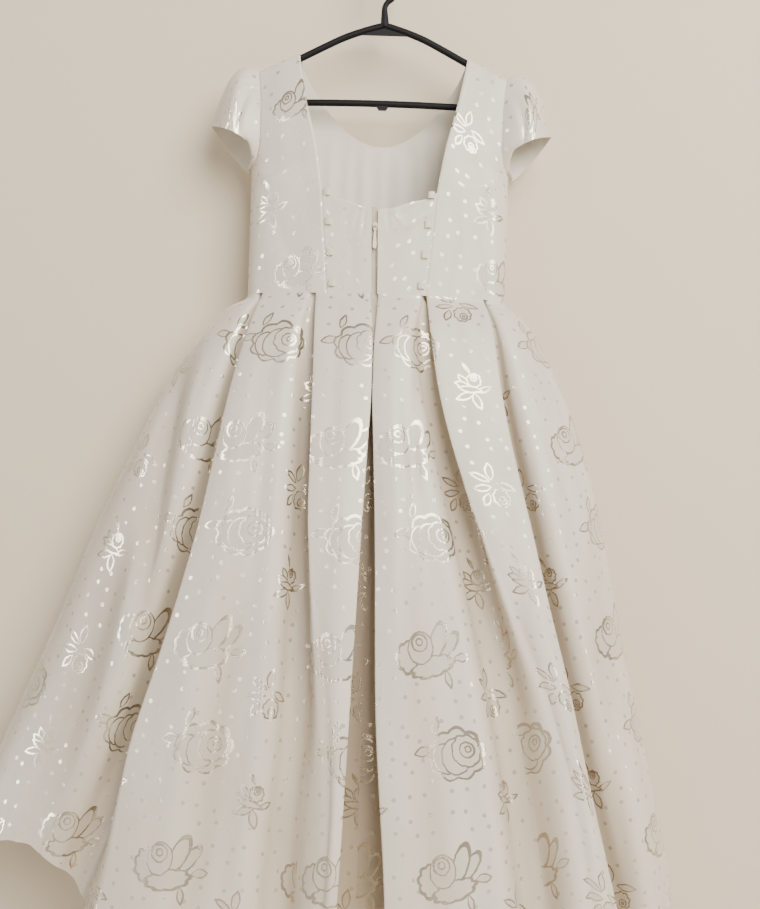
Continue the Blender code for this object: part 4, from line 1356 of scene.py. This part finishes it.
        outer, inner = self.fold_columns(PLEAT_FRONT_SIDE, 1, z), self.fold_columns(PLEAT_FRONT_INNER, 1, z)
        run = self.side_run(Side.RIGHT, outer[0], z, 6)
        half = run + outer + self.between(outer[-1], inner[0], 4, z, 0.6) + inner
        other = self.side_run(Side.LEFT, mirrored(outer)[0], z, 6) + mirrored(half)[len(run):]
        front = half + self.between(inner[-1], mirrored(inner)[-1], 6, z, 0.9) + other[::-1]
        grid, deep, marks = self.cloth(front, z, True)
        edges = (0, 12, 26, len(half) + 10, len(half) + 24, len(front) - 1)
        refs = (3, 19, len(half) + 3, len(half) + 17, len(front) - 4)
        lanes = tuple(
            Lane(marks[a], marks[b] if b < len(front) - 1 else len(grid[0]), marks[c], 40.0 * n)
            for n, (a, b, c) in enumerate(zip(edges, edges[1:], refs))
        )
        pieces.append(self.sheet("skirt_front", grid, 1.0, lanes, deep))
        cuts = (Cut(0.84, 0.78, 0.435), Cut(0.80, 0.78, 0.405), Cut(1.10, 0.78, 0.64))
        return [
            hang(piece, piece.name.removesuffix("_cloth"), finishes.jacquard, finishes.reverse)
            for piece, cut in zip(pieces, cuts)
        ]


@dataclass
class Bodice:
    """The bodice: side backs, centre backs with the zip's folded edges, the front and its lining."""

    rows_low: int = 44
    rows_high: int = 60
    columns: int = 44
    thickness: float = 1.1
    scoop: float = 104.0
    scoop_power: float = 0.75
    strap_share: float = 0.6
    neck_line: tuple[tuple[float, float], ...] = (
        (0.0, -322.0), (18.0, -320.0), (40.0, -311.5), (60.0, -307.0), (70.0, -299.0),
    )
    creases: tuple[Crease, ...] = (
        Crease((-100, -405), (-128, -330), 9, -1.3, 2, 0.4),
        Crease((-86, -330), (-96, -250), 8, -0.9, -2, 0.4),
        Crease((-118, -290), (-150, -276), 8, 1.2, 0, 0.4),
        Crease((-30, -420), (-34, -350), 7, -1.0, 2, 0.4),
        Crease((-16, -324), (-19, -352), 2.6, -0.9, 0, 0.3),
        Crease((-22, -323), (-29, -346), 2.8, -0.8, 0, 0.3),
        Crease((-30, -316), (-42, -338), 3.4, -0.8, 0, 0.3),
        Crease((10, -322), (13, -345), 2.6, -0.8, 0, 0.3),
        Crease((18, -321), (30, -340), 3.2, 0.9, 0, 0.3),
        Crease((26, -330), (58, -306), 4.5, -1.5, 2, 0.3),
        Crease((20, -348), (60, -322), 5.0, 1.2, 2, 0.35),
        Crease((96, -400), (126, -330), 9, -1.2, -3, 0.4),
        Crease((90, -260), (104, -180), 8, -0.9, 2, 0.4),
        Crease((120, -292), (150, -276), 8, 1.2, 0, 0.4),
    )

    def panel_heights(self, outer_end: float, inner_end: float) -> tuple[np.ndarray, np.ndarray]:
        """Heights of the rows along the outer and inner edges of a shoulder panel.

        Args:
            outer_end: the outer edge's top.
            inner_end: the inner edge's top.

        Returns:
            The outer heights and the inner ones.
        """
        low = np.linspace(0.0, 1.0, self.rows_low)
        high = spread(self.rows_high)[1:]
        bottom, top = WAIST, PRINCESS_TOP
        outer = np.concatenate([bottom + (UNDERARM - bottom) * low, UNDERARM + (outer_end - UNDERARM) * high])
        inner = np.concatenate([bottom + (top - bottom) * low, top + (inner_end - top) * high])
        return outer, inner

    def finish_edges(self, grid: np.ndarray, left: float, right: float, top: float = 0.0) -> np.ndarray:
        """Rolls a panel's edges in a little, as sewn ones are, and adds the creases.

        Args:
            grid: the panel's points.
            left: the roll's share at the first column.
            right: at the last column.
            top: at the last row.

        Returns:
            The panel's points, moved along their normals.
        """
        normals = grid_normals(grid, False)
        normals = normals * np.where(normals[..., 1:2] < 0, 1.0, -1.0)
        across, down = arc(grid, 1), arc(grid, 0)
        lift = sum(crease.lift(grid[..., 0], grid[..., 2]) for crease in self.creases)
        inside = np.minimum(across, across[:, -1:] - across)
        lift = lift * np.clip(inside / 6.0, 0.0, 1.0) * np.clip(down / 12.0, 0.0, 1.0)
        for distance, share in ((across, left), (across[:, -1:] - across, right), (down[-1:] - down, top)):
            lift = lift + share * (0.3 * np.exp(-(((distance - 2.6) / 1.0) ** 2)) - 0.8 * np.exp(-distance / 0.9))
        return grid + normals * lift[..., None]

    def side_back(self, side: Side) -> np.ndarray:
        """The side back panel, from the waist up to the shoulder seam.

        Args:
            side: which side.

        Returns:
            Its points, rows upwards and columns inwards.
        """
        outer_z, inner_z = self.panel_heights(float(shoulder_line(ARM_TOP_X)), float(shoulder_line(NECK_POINT_X)))
        outer_a = outer_edge(outer_z)
        inner_x = np.where(inner_z > PRINCESS_TOP, BACK_NECK.at("x", inner_z), princess_x(inner_z))
        inner_a = np.arcsin((inner_x + 0.02) / BODY_HALF)
        s = spread(self.columns)[None, :]
        x = BODY_HALF * np.sin(outer_a[:, None] + (inner_a - outer_a)[:, None] * s)
        z = np.minimum(outer_z[:, None] + (inner_z - outer_z)[:, None] * s, shoulder_line(x))
        return self.finish_edges(body_point(side.value * x, z), 0.6, 1.0)

    def centre_back(self, side: Side) -> np.ndarray:
        """The centre back panel, whose inner edge folds back over the zip.

        Args:
            side: which side.

        Returns:
            Its points, rows upwards and columns inwards.
        """
        heights = np.array(self.neck_line)
        t = np.linspace(0.0, 1.0, 64)
        name = side.word
        lines = []
        s_values = list(spread(self.columns))
        turns = ((1.0, 0.25), (1.7, 0.8), (1.9, 1.6), (1.4, 2.5))  # the folded edge: on in x, and in
        for k in range(len(s_values) + len(turns)):
            depth = 0.0 * t
            if k < len(s_values):
                z = WAIST + 0.0 * t
                for _ in range(4):
                    edge = side.value * SLIT.at(name, z) - 1.6
                    x = princess_x(z) - 0.02 + (edge - princess_x(z) + 0.02) * s_values[k]
                    z = WAIST + (np.interp(x, heights[:, 0], heights[:, 1]) - WAIST) * t
            else:
                step, depth = turns[k - len(s_values)]
                x = edge + step
            line = body_point(side.value * x, z)
            line[:, 1] += depth
            lines.append(line)
        return self.finish_edges(np.stack(lines, 1), 0.8, 0.0, 0.7)

    def front(self, inset: float) -> np.ndarray:
        """The front from side to side: below the scoop it is whole, above it two straps.

        Args:
            inset: how far inside the outline it lies.

        Returns:
            Its points, rows upwards.
        """
        outer_z, _ = self.panel_heights(float(shoulder_line(ARM_TOP_X)), 0.0)
        outer_a = outer_edge(outer_z)
        t = (outer_z - outer_z[0]) / (outer_z[-1] - outer_z[0])
        half = BODY_HALF - inset
        strap_run = 1.0 - (1.0 - self.strap_share) * spread(22)
        body_run = self.strap_share * (1.0 - np.linspace(0.0, 1.0, 40)[1:] ** 1.2)
        reach_list = np.concatenate([strap_run, body_run])
        shares = np.concatenate([reach_list, -reach_list[-2::-1]])
        lines = []
        for share in shares:
            reach = abs(share)
            scoop_x = NECK_POINT_X * min(1.0, reach / self.strap_share)
            down = max(0.0, math.cos(0.5 * math.pi * scoop_x / NECK_POINT_X)) ** self.scoop_power
            strap = max(0.0, (reach - self.strap_share) / (1.0 - self.strap_share))
            top_x = scoop_x + (ARM_TOP_X - NECK_POINT_X) * strap
            top_z = float(shoulder_line(top_x)) if strap else NECK_POINT_Z - self.scoop * down
            base = outer_z[0] + 0.3 * inset
            x = half * math.sin(outer_a[0] * reach) * (1.0 - t**0.9) + top_x * t**0.9
            z = base + (top_z - 0.7 * inset - base) * t
            mix = strap**1.5
            x = x + (half * np.sin(outer_a) - x) * mix
            z = z + (np.maximum(base, outer_z) - z) * mix
            z = np.minimum(z, shoulder_line(x) - (14.0 if inset else 0.0))
            lines.append(body_point(math.copysign(1.0, share) * x, z, True, inset))
        return np.stack(lines, 1)

    def lining(self) -> np.ndarray:
        """The front's lining, which hangs in soft upright folds inside it.

        Returns:
            Its points, rows upwards.
        """
        grid = self.front(3.0)
        folds = (
            Crease((-62, -230), (-66, -330), 7, 1.6, 0, 0.4), Crease((-40, -232), (-42, -350), 6, 1.3, 1, 0.4),
            Crease((-22, -236), (-20, -340), 7, 1.8, 0, 0.4), Crease((2, -236), (4, -360), 6, 1.2, 1, 0.4),
            Crease((24, -236), (22, -330), 8, 1.7, 0, 0.4), Crease((48, -232), (52, -350), 6, 1.4, -1, 0.4),
            Crease((70, -215), (78, -330), 7, 1.5, 0, 0.4),
        )
        lift = sum(fold.lift(grid[..., 0], grid[..., 2]) for fold in folds)
        grid[..., 1] -= lift
        return grid

    def build(self, finishes: Wardrobe) -> list[bpy.types.Object]:
        """All the bodice's panels.

        Args:
            finishes: the materials.

        Returns:
            The objects.
        """
        made = []
        for side in Side:
            for name, grid, ref, shift, cut in (
                ("side_back", self.side_back(side), self.columns // 2, 0.0, Cut(0.115, 0.305, 0.0275)),
                ("centre_back", self.centre_back(side), 20, 70.0, Cut(0.075, 0.125, 0.0075)),
            ):
                node, grid = f"{name}_{side.word}", grid[::-1, ::-side.value]
                lane = Lane(0, len(grid[0]), ref, shift)
                panel = Cloth(f"{node}_cloth", grid, way_out(grid, -1.0), self.thickness, lanes=(lane,))
                made.append(hang(panel, node, finishes.bodice[side], finishes.lining))
        grid = self.front(0.0)[::-1]
        front = Cloth("bodice_front_cloth", grid, way_out(grid, 1.0), self.thickness)
        cut = Cut(0.345, 0.30, 0.083)
        made.append(hang(front, "bodice_front", finishes.jacquard, finishes.lining))
        grid = self.lining()[::-1]
        lining = Cloth("front_lining_cloth", grid, way_out(grid, -1.0), 0.7)
        cut = Cut(0.34, 0.29, 0.078)
        made.append(hang(lining, "bodice_front_lining", finishes.lining, finishes.lining))
        return made


@dataclass
class Sleeves:
    """The two cap sleeves, gathered at the head and open at the hem."""

    puff: float = 23.0
    stand: float = 9.0
    belly: float = 3.0
    tuck: float = 4.0
    # the hem's x and z at its outer and inner ends, and behind as (share of the way round, x, z)
    hem_top: tuple[float, float] = (212.0, -215.0)
    hem_bottom: tuple[float, float] = (166.0, -266.5)
    hem_back: tuple[tuple[float, float, float], ...] = (
        (0.0, 212.0, -215.0), (0.25, 198.0, -222.5), (0.5, 181.0, -230.0), (0.75, 163.5, -238.5),
        (0.9, 157.0, -249.0), (1.0, 164.0, -266.5),
    )
    hem_back_out: float = -34.0
    hem_front: tuple[float, float, float] = (-5.0, -9.0, 27.0)
    around: int = 145
    rows: int = 44
    # each gather's angle round the armhole, its width there and its depth
    gathers: tuple[tuple[float, float, float], ...] = (
        (0.30, 0.05, 1.2), (0.42, 0.05, 1.5), (0.55, 0.06, 1.7), (0.70, 0.05, 1.2), (0.86, 0.07, 1.6),
        (1.02, 0.06, 1.1), (5.98, 0.05, 1.2), (5.84, 0.06, 1.5), (5.70, 0.05, 1.4), (5.55, 0.06, 1.3),
        (0.12, 0.05, 1.3), (6.16, 0.05, 1.2),
    )
    # each soft fold's height, its angle at the head, how it slants towards the hem, and its width
    folds: tuple[tuple[float, float, float, float], ...] = ((-3.2, 0.95, 0.9, 0.2), (2.4, 0.5, 0.8, 0.22))

    def grid(self) -> np.ndarray:
        """The right sleeve from the armhole to its hem, as a ring that closes on its last column.

        Returns:
            Its points, rows downwards and columns round from the top by the back.
        """
        turn = np.linspace(0.0, 2 * math.pi, self.around)
        around, side_y = 0.5 * (1.0 - np.cos(turn)), np.sin(turn)
        top = float(shoulder_line(ARM_TOP_X)) + 1.0
        ring_z = top + (UNDERARM + 1.4 - top) * around
        ring_x = ARMHOLE.at("x", ring_z) + 0.5
        back, front = -body_point(ring_x - 0.5, ring_z)[:, 1], body_point(ring_x - 0.5, ring_z, True)[:, 1]
        ring_y = np.where(side_y >= 0, -back, front) * np.minimum(1.0, np.abs(side_y) * 4.0)
        line = np.array(self.hem_back)
        hem = []
        for k, first, last in ((0, self.hem_top[0], self.hem_bottom[0]), (1, self.hem_top[1], self.hem_bottom[1])):
            in_front = first + (last - first) * around + self.hem_front[k] * np.abs(side_y)
            behind = np.interp(turn / math.pi, line[:, 0], line[:, k + 1])
            hem.append(np.where(side_y >= 0, behind, in_front))
        hem_y = np.where(side_y >= 0, self.hem_back_out, self.hem_front[2]) * np.abs(side_y)
        t = np.linspace(0.0, 1.0, self.rows)[:, None] ** 1.1
        swell = np.sin(math.pi * t**0.75)
        head = (1.0 - around) ** 1.5
        x = ring_x + (hem[0] - ring_x) * t + swell * (self.stand * head + self.belly * (1.0 - head))
        y = ring_y + (hem_y - ring_y) * t**0.8 - self.tuck * swell * side_y
        z = ring_z + (hem[1] - ring_z) * t + swell * self.puff * head
        grid = np.stack(np.broadcast_arrays(x, y, z), -1)
        fade = np.exp(-((t / 0.42) ** 2)) * np.minimum(1.0, t / 0.05)
        pleats = fade * sum(
            depth * np.exp(-(((turn[None, :] - at) / width) ** 2)) for at, width, depth in self.gathers
        )
        soft = np.sin(math.pi * t) * sum(
            height * np.exp(-(((turn[None, :] - at - slant * t) / width) ** 2))
            for height, at, slant, width in self.folds
        )
        middle = grid.mean(axis=1, keepdims=True)
        outward = unit((grid - middle) * (0.25, 1.0, 1.0))
        grid = grid + outward * (soft - pleats)[..., None]
        grid[:, -1] = grid[:, 0]
        return grid

    def build(self, finishes: Wardrobe) -> list[bpy.types.Object]:
        """Both sleeves.

        Args:
            finishes: the materials.

        Returns:
            The objects.
        """
        made = []
        for side in Side:
            grid = (self.grid() * (side.value, 1.0, 1.0))[:, ::-side.value]
            normals = grid_normals(grid, True)
            outward = unit(grid - grid.mean(axis=1, keepdims=True))
            turned = 1 if float(np.sum(normals * outward)) > 0 else -1
            back = self.around // 5 if side is Side.LEFT else self.around - 1 - self.around // 5
            node = f"sleeve_{side.word}"
            piece = Cloth(f"{node}_cloth", grid, turned, 1.1, True, (Lane(0, self.around, back, -150.0),))
            made.append(hang(piece, node, finishes.bodice[side], finishes.lining))
        return made


def sweep(path: np.ndarray, radius: np.ndarray, sides: int, closed: bool) -> tuple[np.ndarray, np.ndarray]:
    """A tube along a path in the XZ plane: a circle of points square to the path at each of its points.

    Args:
        path: the centre line's points.
        radius: the radius at each point.
        sides: the points round it.
        closed: whether the path is a loop.

    Returns:
        The points and the quads.
    """
    if closed:
        ahead = np.roll(path, -1, 0) - np.roll(path, 1, 0)
    else:
        ahead = np.gradient(path, axis=0)
    ahead = unit(ahead)
    side = np.stack([-ahead[:, 2], 0 * ahead[:, 0], ahead[:, 0]], -1)
    turn = 2 * math.pi * np.arange(sides) / sides
    ring = side[:, None] * np.cos(turn)[None, :, None] + np.array((0.0, 1.0, 0.0)) * np.sin(turn)[None, :, None]
    points = path[:, None] + radius[:, None, None] * ring
    count = len(path)
    rows = np.arange(count if closed else count - 1)
    here, there = rows[:, None] * sides, ((rows + 1) % count)[:, None] * sides
    k, after = np.arange(sides)[None], (np.arange(sides)[None] + 1) % sides
    quads = np.stack([here + k, here + after, there + after, there + k], -1).reshape(-1, 4)
    return points.reshape(-1, 3), quads


def smooth_path(points: list[tuple[float, float]], per: int) -> np.ndarray:
    """A smooth line in the XZ plane through points, with `per` steps between each two.

    Args:
        points: the (x, z) that it passes through.
        per: the steps.

    Returns:
        The line's points.
    """
    data = np.array([(x, 0.0, z) for x, z in points])
    before = np.vstack([2 * data[0] - data[1], data[:-1]])
    after = np.vstack([data[1:], 2 * data[-1] - data[-2]])
    pull = 0.5 * (after - before)
    t = (np.arange(per) / per)[None, :, None]
    made = hermite(data[:-1, None], data[1:, None], pull[:-1, None], pull[1:, None], t)
    return np.vstack([made.reshape(-1, 3), data[-1:]])


def mesh_object(
    name: str, points: np.ndarray, faces: list, finish: bpy.types.Material, smooth: bool = True,
) -> bpy.types.Object:
    """An object from points in mm and faces, with normals made to point outwards.

    Args:
        name: its name.
        points: its points.
        faces: each face's point indices.
        finish: its material.
        smooth: whether it is shaded smooth.

    Returns:
        The new object.
    """
    mesh = bpy.data.meshes.new(name)
    mesh.from_pydata((np.asarray(points) * MM).tolist(), [], [list(map(int, f)) for f in faces])
    shape = bmesh.new()
    shape.from_mesh(mesh)
    bmesh.ops.recalc_face_normals(shape, faces=shape.faces)
    shape.to_mesh(mesh)
    shape.free()
    mesh.materials.append(finish)
    if smooth:
        mesh.shade_smooth()
        mesh.set_sharp_from_angle(angle=math.radians(40))
    return add_object(name, mesh)


@dataclass
class Hanger:
    """The one-piece moulded hanger: its frame, the web under the stem, the hook and the nub on the bar."""

    radius: float = 4.1
    hook_radius: float = 3.4
    hook_inner: float = 18.0
    top: tuple[tuple[float, float], ...] = ((0.0, -81.9), (25.0, -89.4), (50.0, -98.9), (75.0, -111.4))
    corner: tuple[tuple[float, float], ...] = (
        (146.0, -148.0), (149.5, -156.0), (150.0, -165.0), (146.5, -174.0), (139.0, -180.0), (128.0, -182.5),
    )
    stem: tuple[tuple[float, float], ...] = ((0.0, -84.0), (-0.6, -70.0), (-0.8, -60.0), (2.5, -53.0), (9.0, -47.0))

    def frame_loop(self) -> np.ndarray:
        """The closed centre line of the arms and the bar.

        Returns:
            Its points.
        """
        arm = list(self.top) + [(x, float(shoulder_line(x)) - 6.1) for x in (100.0, 120.0, 138.0)]
        right = smooth_path(arm + list(self.corner), 6)
        x = np.linspace(118.0, 0.0, 14)
        bar = np.stack([x, 0 * x, -180.0 - 2.5 * (x / 125.0) ** 2], -1)
        half = np.vstack([right, bar])
        return np.vstack([half, half[-2:0:-1] * (-1.0, 1.0, 1.0)])

    def build(self, finishes: Wardrobe) -> list[bpy.types.Object]:
        """The hanger as four meeting shapes in one mesh.

        Args:
            finishes: the materials.

        Returns:
            The object, in a list.
        """
        points, faces, count = [], [], 0

        def take(shape: tuple[np.ndarray, np.ndarray], caps: list = ()) -> None:
            """Adds a shape to the mesh.

            Args:
                shape: its points and quads.
                caps: its end faces.
            """
            nonlocal count
            made, quads = shape
            points.append(made)
            faces.extend((quads + count).tolist())
            faces.extend([[i + count for i in cap] for cap in caps])
            count += len(made)

        loop = self.frame_loop()
        take(sweep(loop, np.full(len(loop), self.radius), 20, True))
        turn = np.radians(np.arange(-38.0, 205.0, 6.5))
        reach = self.hook_inner + self.hook_radius
        bow = [(reach * math.cos(a), -self.hook_inner + reach * math.sin(a)) for a in turn]
        path = np.vstack([smooth_path(list(self.stem) + bow[:1], 6)[:-1], [(x, 0.0, z) for x, z in bow]])
        radius = np.full(len(path), self.hook_radius)
        radius[:12] = np.linspace(5.4, self.hook_radius, 12)
        tip = path[-1] + unit(path[-1] - path[-2]) * np.array([[0.45], [0.8], [1.0]]) * self.hook_radius
        path = np.vstack([path, tip])
        radius = np.concatenate([radius, self.hook_radius * np.array([0.9, 0.6, 0.15])])
        sides = 20
        last = (len(path) - 1) * sides
        take(sweep(path, radius, sides, False), [list(range(sides)), list(range(last, last + sides))])
        outline = [(-34.0, -94.5), (-25.0, -89.4), (0.0, -81.9), (25.0, -89.4), (34.0, -94.5)]
        for shape, thick in ((outline, 1.6), ([(-8.0, -182.5), (8.0, -182.5), (4.6, -187.8), (-4.6, -187.8)], 2.6)):
            size = len(shape)
            both = np.array([(x, y, z) for y in (-thick, thick) for x, z in shape])
            quads = np.array([(k, (k + 1) % size, (k + 1) % size + size, k + size) for k in range(size)])
            take((both, quads), [list(range(size)), list(range(size, 2 * size))])
        made = mesh_object("hanger_moulding", np.vstack(points), faces, finishes.plastic)
        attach(made, "root")
        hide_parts("hanger")
        return [made]


@dataclass
class LacingLoops:
    """Eight ribbon loops beside the princess seams, each an arch open from top to bottom."""

    side_length: float = 8.0
    heights: tuple[float, ...] = (-302.5, -338.0, -375.0, -412.0)
    from_seam: float = 6.5
    arch: tuple[tuple[float, float], ...] = (
        (0.0, 0.55), (-0.01, 1.3), (0.02, 2.1), (0.1, 2.75), (0.28, 3.15), (0.5, 3.3), (0.72, 3.15),
        (0.9, 2.75), (0.98, 2.1), (1.01, 1.3), (1.0, 0.55),
    )

    def build(self, finishes: Wardrobe) -> list[bpy.types.Object]:
        """The loops, each a ribbon of its own.

        Args:
            finishes: the materials.

        Returns:
            The objects.
        """
        made = []
        for side in Side:
            for number, height in enumerate(self.heights, 1):
                lean = 0.4 * ((number * 7) % 3 - 1)
                z = height + np.linspace(0.5, -0.5, 9) * self.side_length
                lines = []
                for across, out in self.arch:
                    x = princess_x(height) - self.from_seam + (across - 0.5) * self.side_length + 0.0 * z
                    line = body_point(side.value * x, z + lean * (across - 0.5))
                    line[:, 1] -= out + 0.12 * np.cos(np.linspace(-math.pi / 2, math.pi / 2, 9)) * (out > 2.0)
                    lines.append(line)
                grid = np.stack(lines, 1)
                node = f"lacing_loop_{side.word}_{number}"
                ribbon = Cloth(node + "_ribbon", grid, way_out(grid, -1.0), 0.6)
                made.append(hang(ribbon, node, finishes.ribbon, finishes.ribbon))
        return made


@dataclass
class Zip:
    """The zip: its two woven tapes, the coil between them, and the metal slider and pull."""

    depth: float = 3.8
    share: float = 0.72
    clear: float = 0.3
    top: float = -318.5
    bottom: float = -486.0
    pitch: float = 1.5
    slider_top: float = -338.0

    def tape_point(self, x: np.ndarray, z: np.ndarray, lift: float = 0.0) -> np.ndarray:
        """A point of the tape, behind the folded edges of the bodice and of the skirt.

        Args:
            x: across, in mm.
            z: height.
            lift: how far it stands towards those edges.

        Returns:
            Points.
        """
        upper = body_point(x, z)
        upper[..., 1] += self.depth - lift
        lower = Skirt().outline_point(x, self.depth - lift + 0.0 * x, z, False)
        return np.where((z > WAIST)[..., None], upper, lower)

    def middle(self, z: np.ndarray) -> np.ndarray:
        """The line where the two tapes meet."""
        left, right = SLIT.at("left", z), SLIT.at("right", z)
        return left + self.share * (right - left)

    def build(self, finishes: Wardrobe) -> list[bpy.types.Object]:
        """The tapes and the coil, with the metal finish on the slider and the pull.

        Args:
            finishes: the materials.

        Returns:
            The objects.
        """
        z = np.concatenate([np.linspace(self.top, -424.2, 60), np.linspace(-425.0, self.bottom, 40)])
        left, right = SLIT.at("left", z) + self.clear, SLIT.at("right", z) - self.clear
        middle = self.middle(z)
        made = []
        for side, low, high in ((Side.LEFT, left, middle - 0.1), (Side.RIGHT, middle + 0.1, right)):
            s = np.linspace(0.0, 1.0, 9)[None]
            x = low[:, None] + (high - low)[:, None] * s
            grid = self.tape_point(x, z[:, None] + 0.0 * x)
            grid[..., 1] += 0.15 * np.sin(z / 5.1)[:, None]
            node = f"zip_tape_{side.word}"
            tape = Cloth(node + "_cloth", grid, way_out(grid, -1.0), 0.7)
            made.append(hang(tape, node, finishes.tape, finishes.tape))
        at = np.arange(self.slider_top - 12.0, self.bottom + 4.0, -self.pitch)
        centre = self.tape_point(self.middle(at), at, 0.75)
        box = np.array([(x, y, h) for x in (-1.5, 1.5) for y in (-0.35, 0.35) for h in (-0.42, 0.42)])
        cube = np.array([(0, 1, 3, 2), (4, 6, 7, 5), (0, 4, 5, 1), (2, 3, 7, 6), (0, 2, 6, 4), (1, 5, 7, 3)])
        points = (centre[:, None] + box[None]).reshape(-1, 3)
        faces = (np.arange(len(at))[:, None, None] * 8 + cube[None]).reshape(-1, 4)
        coil = mesh_object("zip_coil", points, faces.tolist(), finishes.tape, False)
        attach(coil, "root")
        made.append(coil)
        for name in ("zip_slider", "zip_pull"):
            for slot in bpy.data.objects[name].material_slots:
                slot.material = finishes.metal
        return made


@dataclass
class Room:
    """The wall that the dress hangs before, the floor, and soft studio light."""

    wall_y: float = 0.056
    floor_z: float = -1.75
    reach: float = 4.0
    camera_away: float = 1.4
    frame_width: float = 0.95

    def stage(self) -> None:
        """The painted wall and the floor."""
        wall = bpy.data.meshes.new("wall")
        far, low = self.reach, self.floor_z
        heights = ((-far, low), (far, low), (far, 2.5), (-far, 2.5))
        wall.from_pydata([(x, self.wall_y, z) for x, z in heights], [], [(0, 1, 2, 3)])
        floor = bpy.data.meshes.new("floor")
        corners = ((-far, -far), (far, -far), (far, far), (-far, far))
        floor.from_pydata([(x, y, low) for x, y in corners], [], [(0, 1, 2, 3)])
        paint, nodes, shader = new_material("wall_paint")
        shader.inputs["Base Color"].default_value = (0.655, 0.565, 0.427, 1.0)
        shader.inputs["Roughness"].default_value = 0.9
        place = nodes.add("ShaderNodeTexCoord").outputs["Object"]
        nodes.bump(shader, nodes.noise(place, 45.0, 5.0, flat=False).outputs["Fac"], 0.0006, 0.25)
        side = nodes.add("ShaderNodeNewGeometry").outputs["Backfacing"]
        clear = nodes.add("ShaderNodeBsdfTransparent")
        both = nodes.add("ShaderNodeMixShader")
        nodes.feed(both.inputs[0], side)
        nodes.feed(both.inputs[1], shader.outputs[0])
        nodes.feed(both.inputs[2], clear.outputs[0])
        nodes.feed(paint.node_tree.nodes["Material Output"].inputs["Surface"], both.outputs[0])
        ground, _, shader = new_material("floor_paint")
        shader.inputs["Base Color"].default_value = (0.66, 0.62, 0.56, 1.0)
        shader.inputs["Roughness"].default_value = 0.8
        for mesh, finish in ((wall, paint), (floor, ground)):
            mesh.materials.append(finish)
            made = add_object(mesh.name, mesh)
            if mesh is wall:
                made.visible_shadow = False

    def light(self) -> None:
        """A broad key from the upper right, a fill from the left, and narrow strips that only gloss shows."""
        lamps = (  # name, place and the height that it aims at in metres, size, watts, colour
            ("key", (1.4, -2.55, 1.0), -0.6, (2.3, 2.3), 242.0, (1.0, 0.97, 0.935)),
            ("fill", (-2.2, -2.0, -0.2), -0.7, (1.4, 1.8), 10.0, (0.95, 0.97, 1.0)),
            ("strip_1", (-2.2, -0.9, -0.1), -0.6, (0.3, 2.4), 55.0, (0.97, 0.98, 1.0)),
            ("strip_2", (-1.5, -1.9, -0.1), -0.6, (0.11, 2.4), 21.0, (1.0, 0.99, 0.98)),
            ("strip_3", (-0.7, -2.3, -0.1), -0.6, (0.11, 2.4), 21.0, (1.0, 0.99, 0.98)),
            ("strip_4", (0.3, -2.4, -0.1), -0.6, (0.11, 2.4), 21.0, (1.0, 0.99, 0.98)),
            ("strip_5", (2.2, -1.0, -0.1), -0.6, (0.25, 2.4), 45.0, (1.0, 0.99, 0.98)),
            ("rear", (-0.8, 2.6, 0.4), -0.6, (1.6, 1.6), 50.0, (1.0, 0.98, 0.95)),
        )
        for name, place, aim, size, power, colour in lamps:
            data = bpy.data.lights.new(name, "AREA")
            data.shape = "RECTANGLE"
            data.size, data.size_y = size
            data.energy = power
            data.color = colour
            lamp = add_object(name, data)
            lamp.visible_diffuse = not name.startswith("strip")
            ahead = (Vector((0.0, 0.0, aim)) - Vector(place)).to_track_quat("-Z", "Y").to_matrix()
            lamp.matrix_world = Matrix.Translation(place) @ ahead.to_4x4()
        world = bpy.data.worlds.new("room")
        world.use_nodes = True
        back = world.node_tree.nodes["Background"]
        back.inputs["Color"].default_value = (1.0, 0.90, 0.78, 1.0)
        back.inputs["Strength"].default_value = 0.3
        bpy.context.scene.world = world

    def camera(self) -> None:
        """The camera at the photograph's place: level, in front of the skirt, turned a little about its view."""
        data = bpy.data.cameras.new("photo")
        data.sensor_fit = "HORIZONTAL"
        data.sensor_width = 36.0
        data.lens = data.sensor_width * self.camera_away / self.frame_width
        data.clip_start, data.clip_end = 0.05, 50.0
        eye = add_object("photo", data)
        roll = Matrix.Rotation(-math.radians(1.85), 4, "Y")
        place = Matrix.Translation((0.0112, -self.camera_away, -0.618))
        eye.matrix_world = place @ roll @ Matrix.Rotation(math.pi / 2, 4, "X")
        bpy.context.scene.camera = eye


def main() -> None:
    """Builds the dress, its hanger and the room."""
    logging.basicConfig(level=logging.INFO, format="%(message)s")
    Room().camera()
    finishes = Wardrobe()
    made = []
    for part in (Skirt(), Bodice(), Sleeves(), Hanger(), LacingLoops(), Zip()):
        made += part.build(finishes)
    Room().stage()
    Room().light()
    for piece in made:
        LOG.info("made %s", piece.name)


if __name__ == "__main__":
    main()
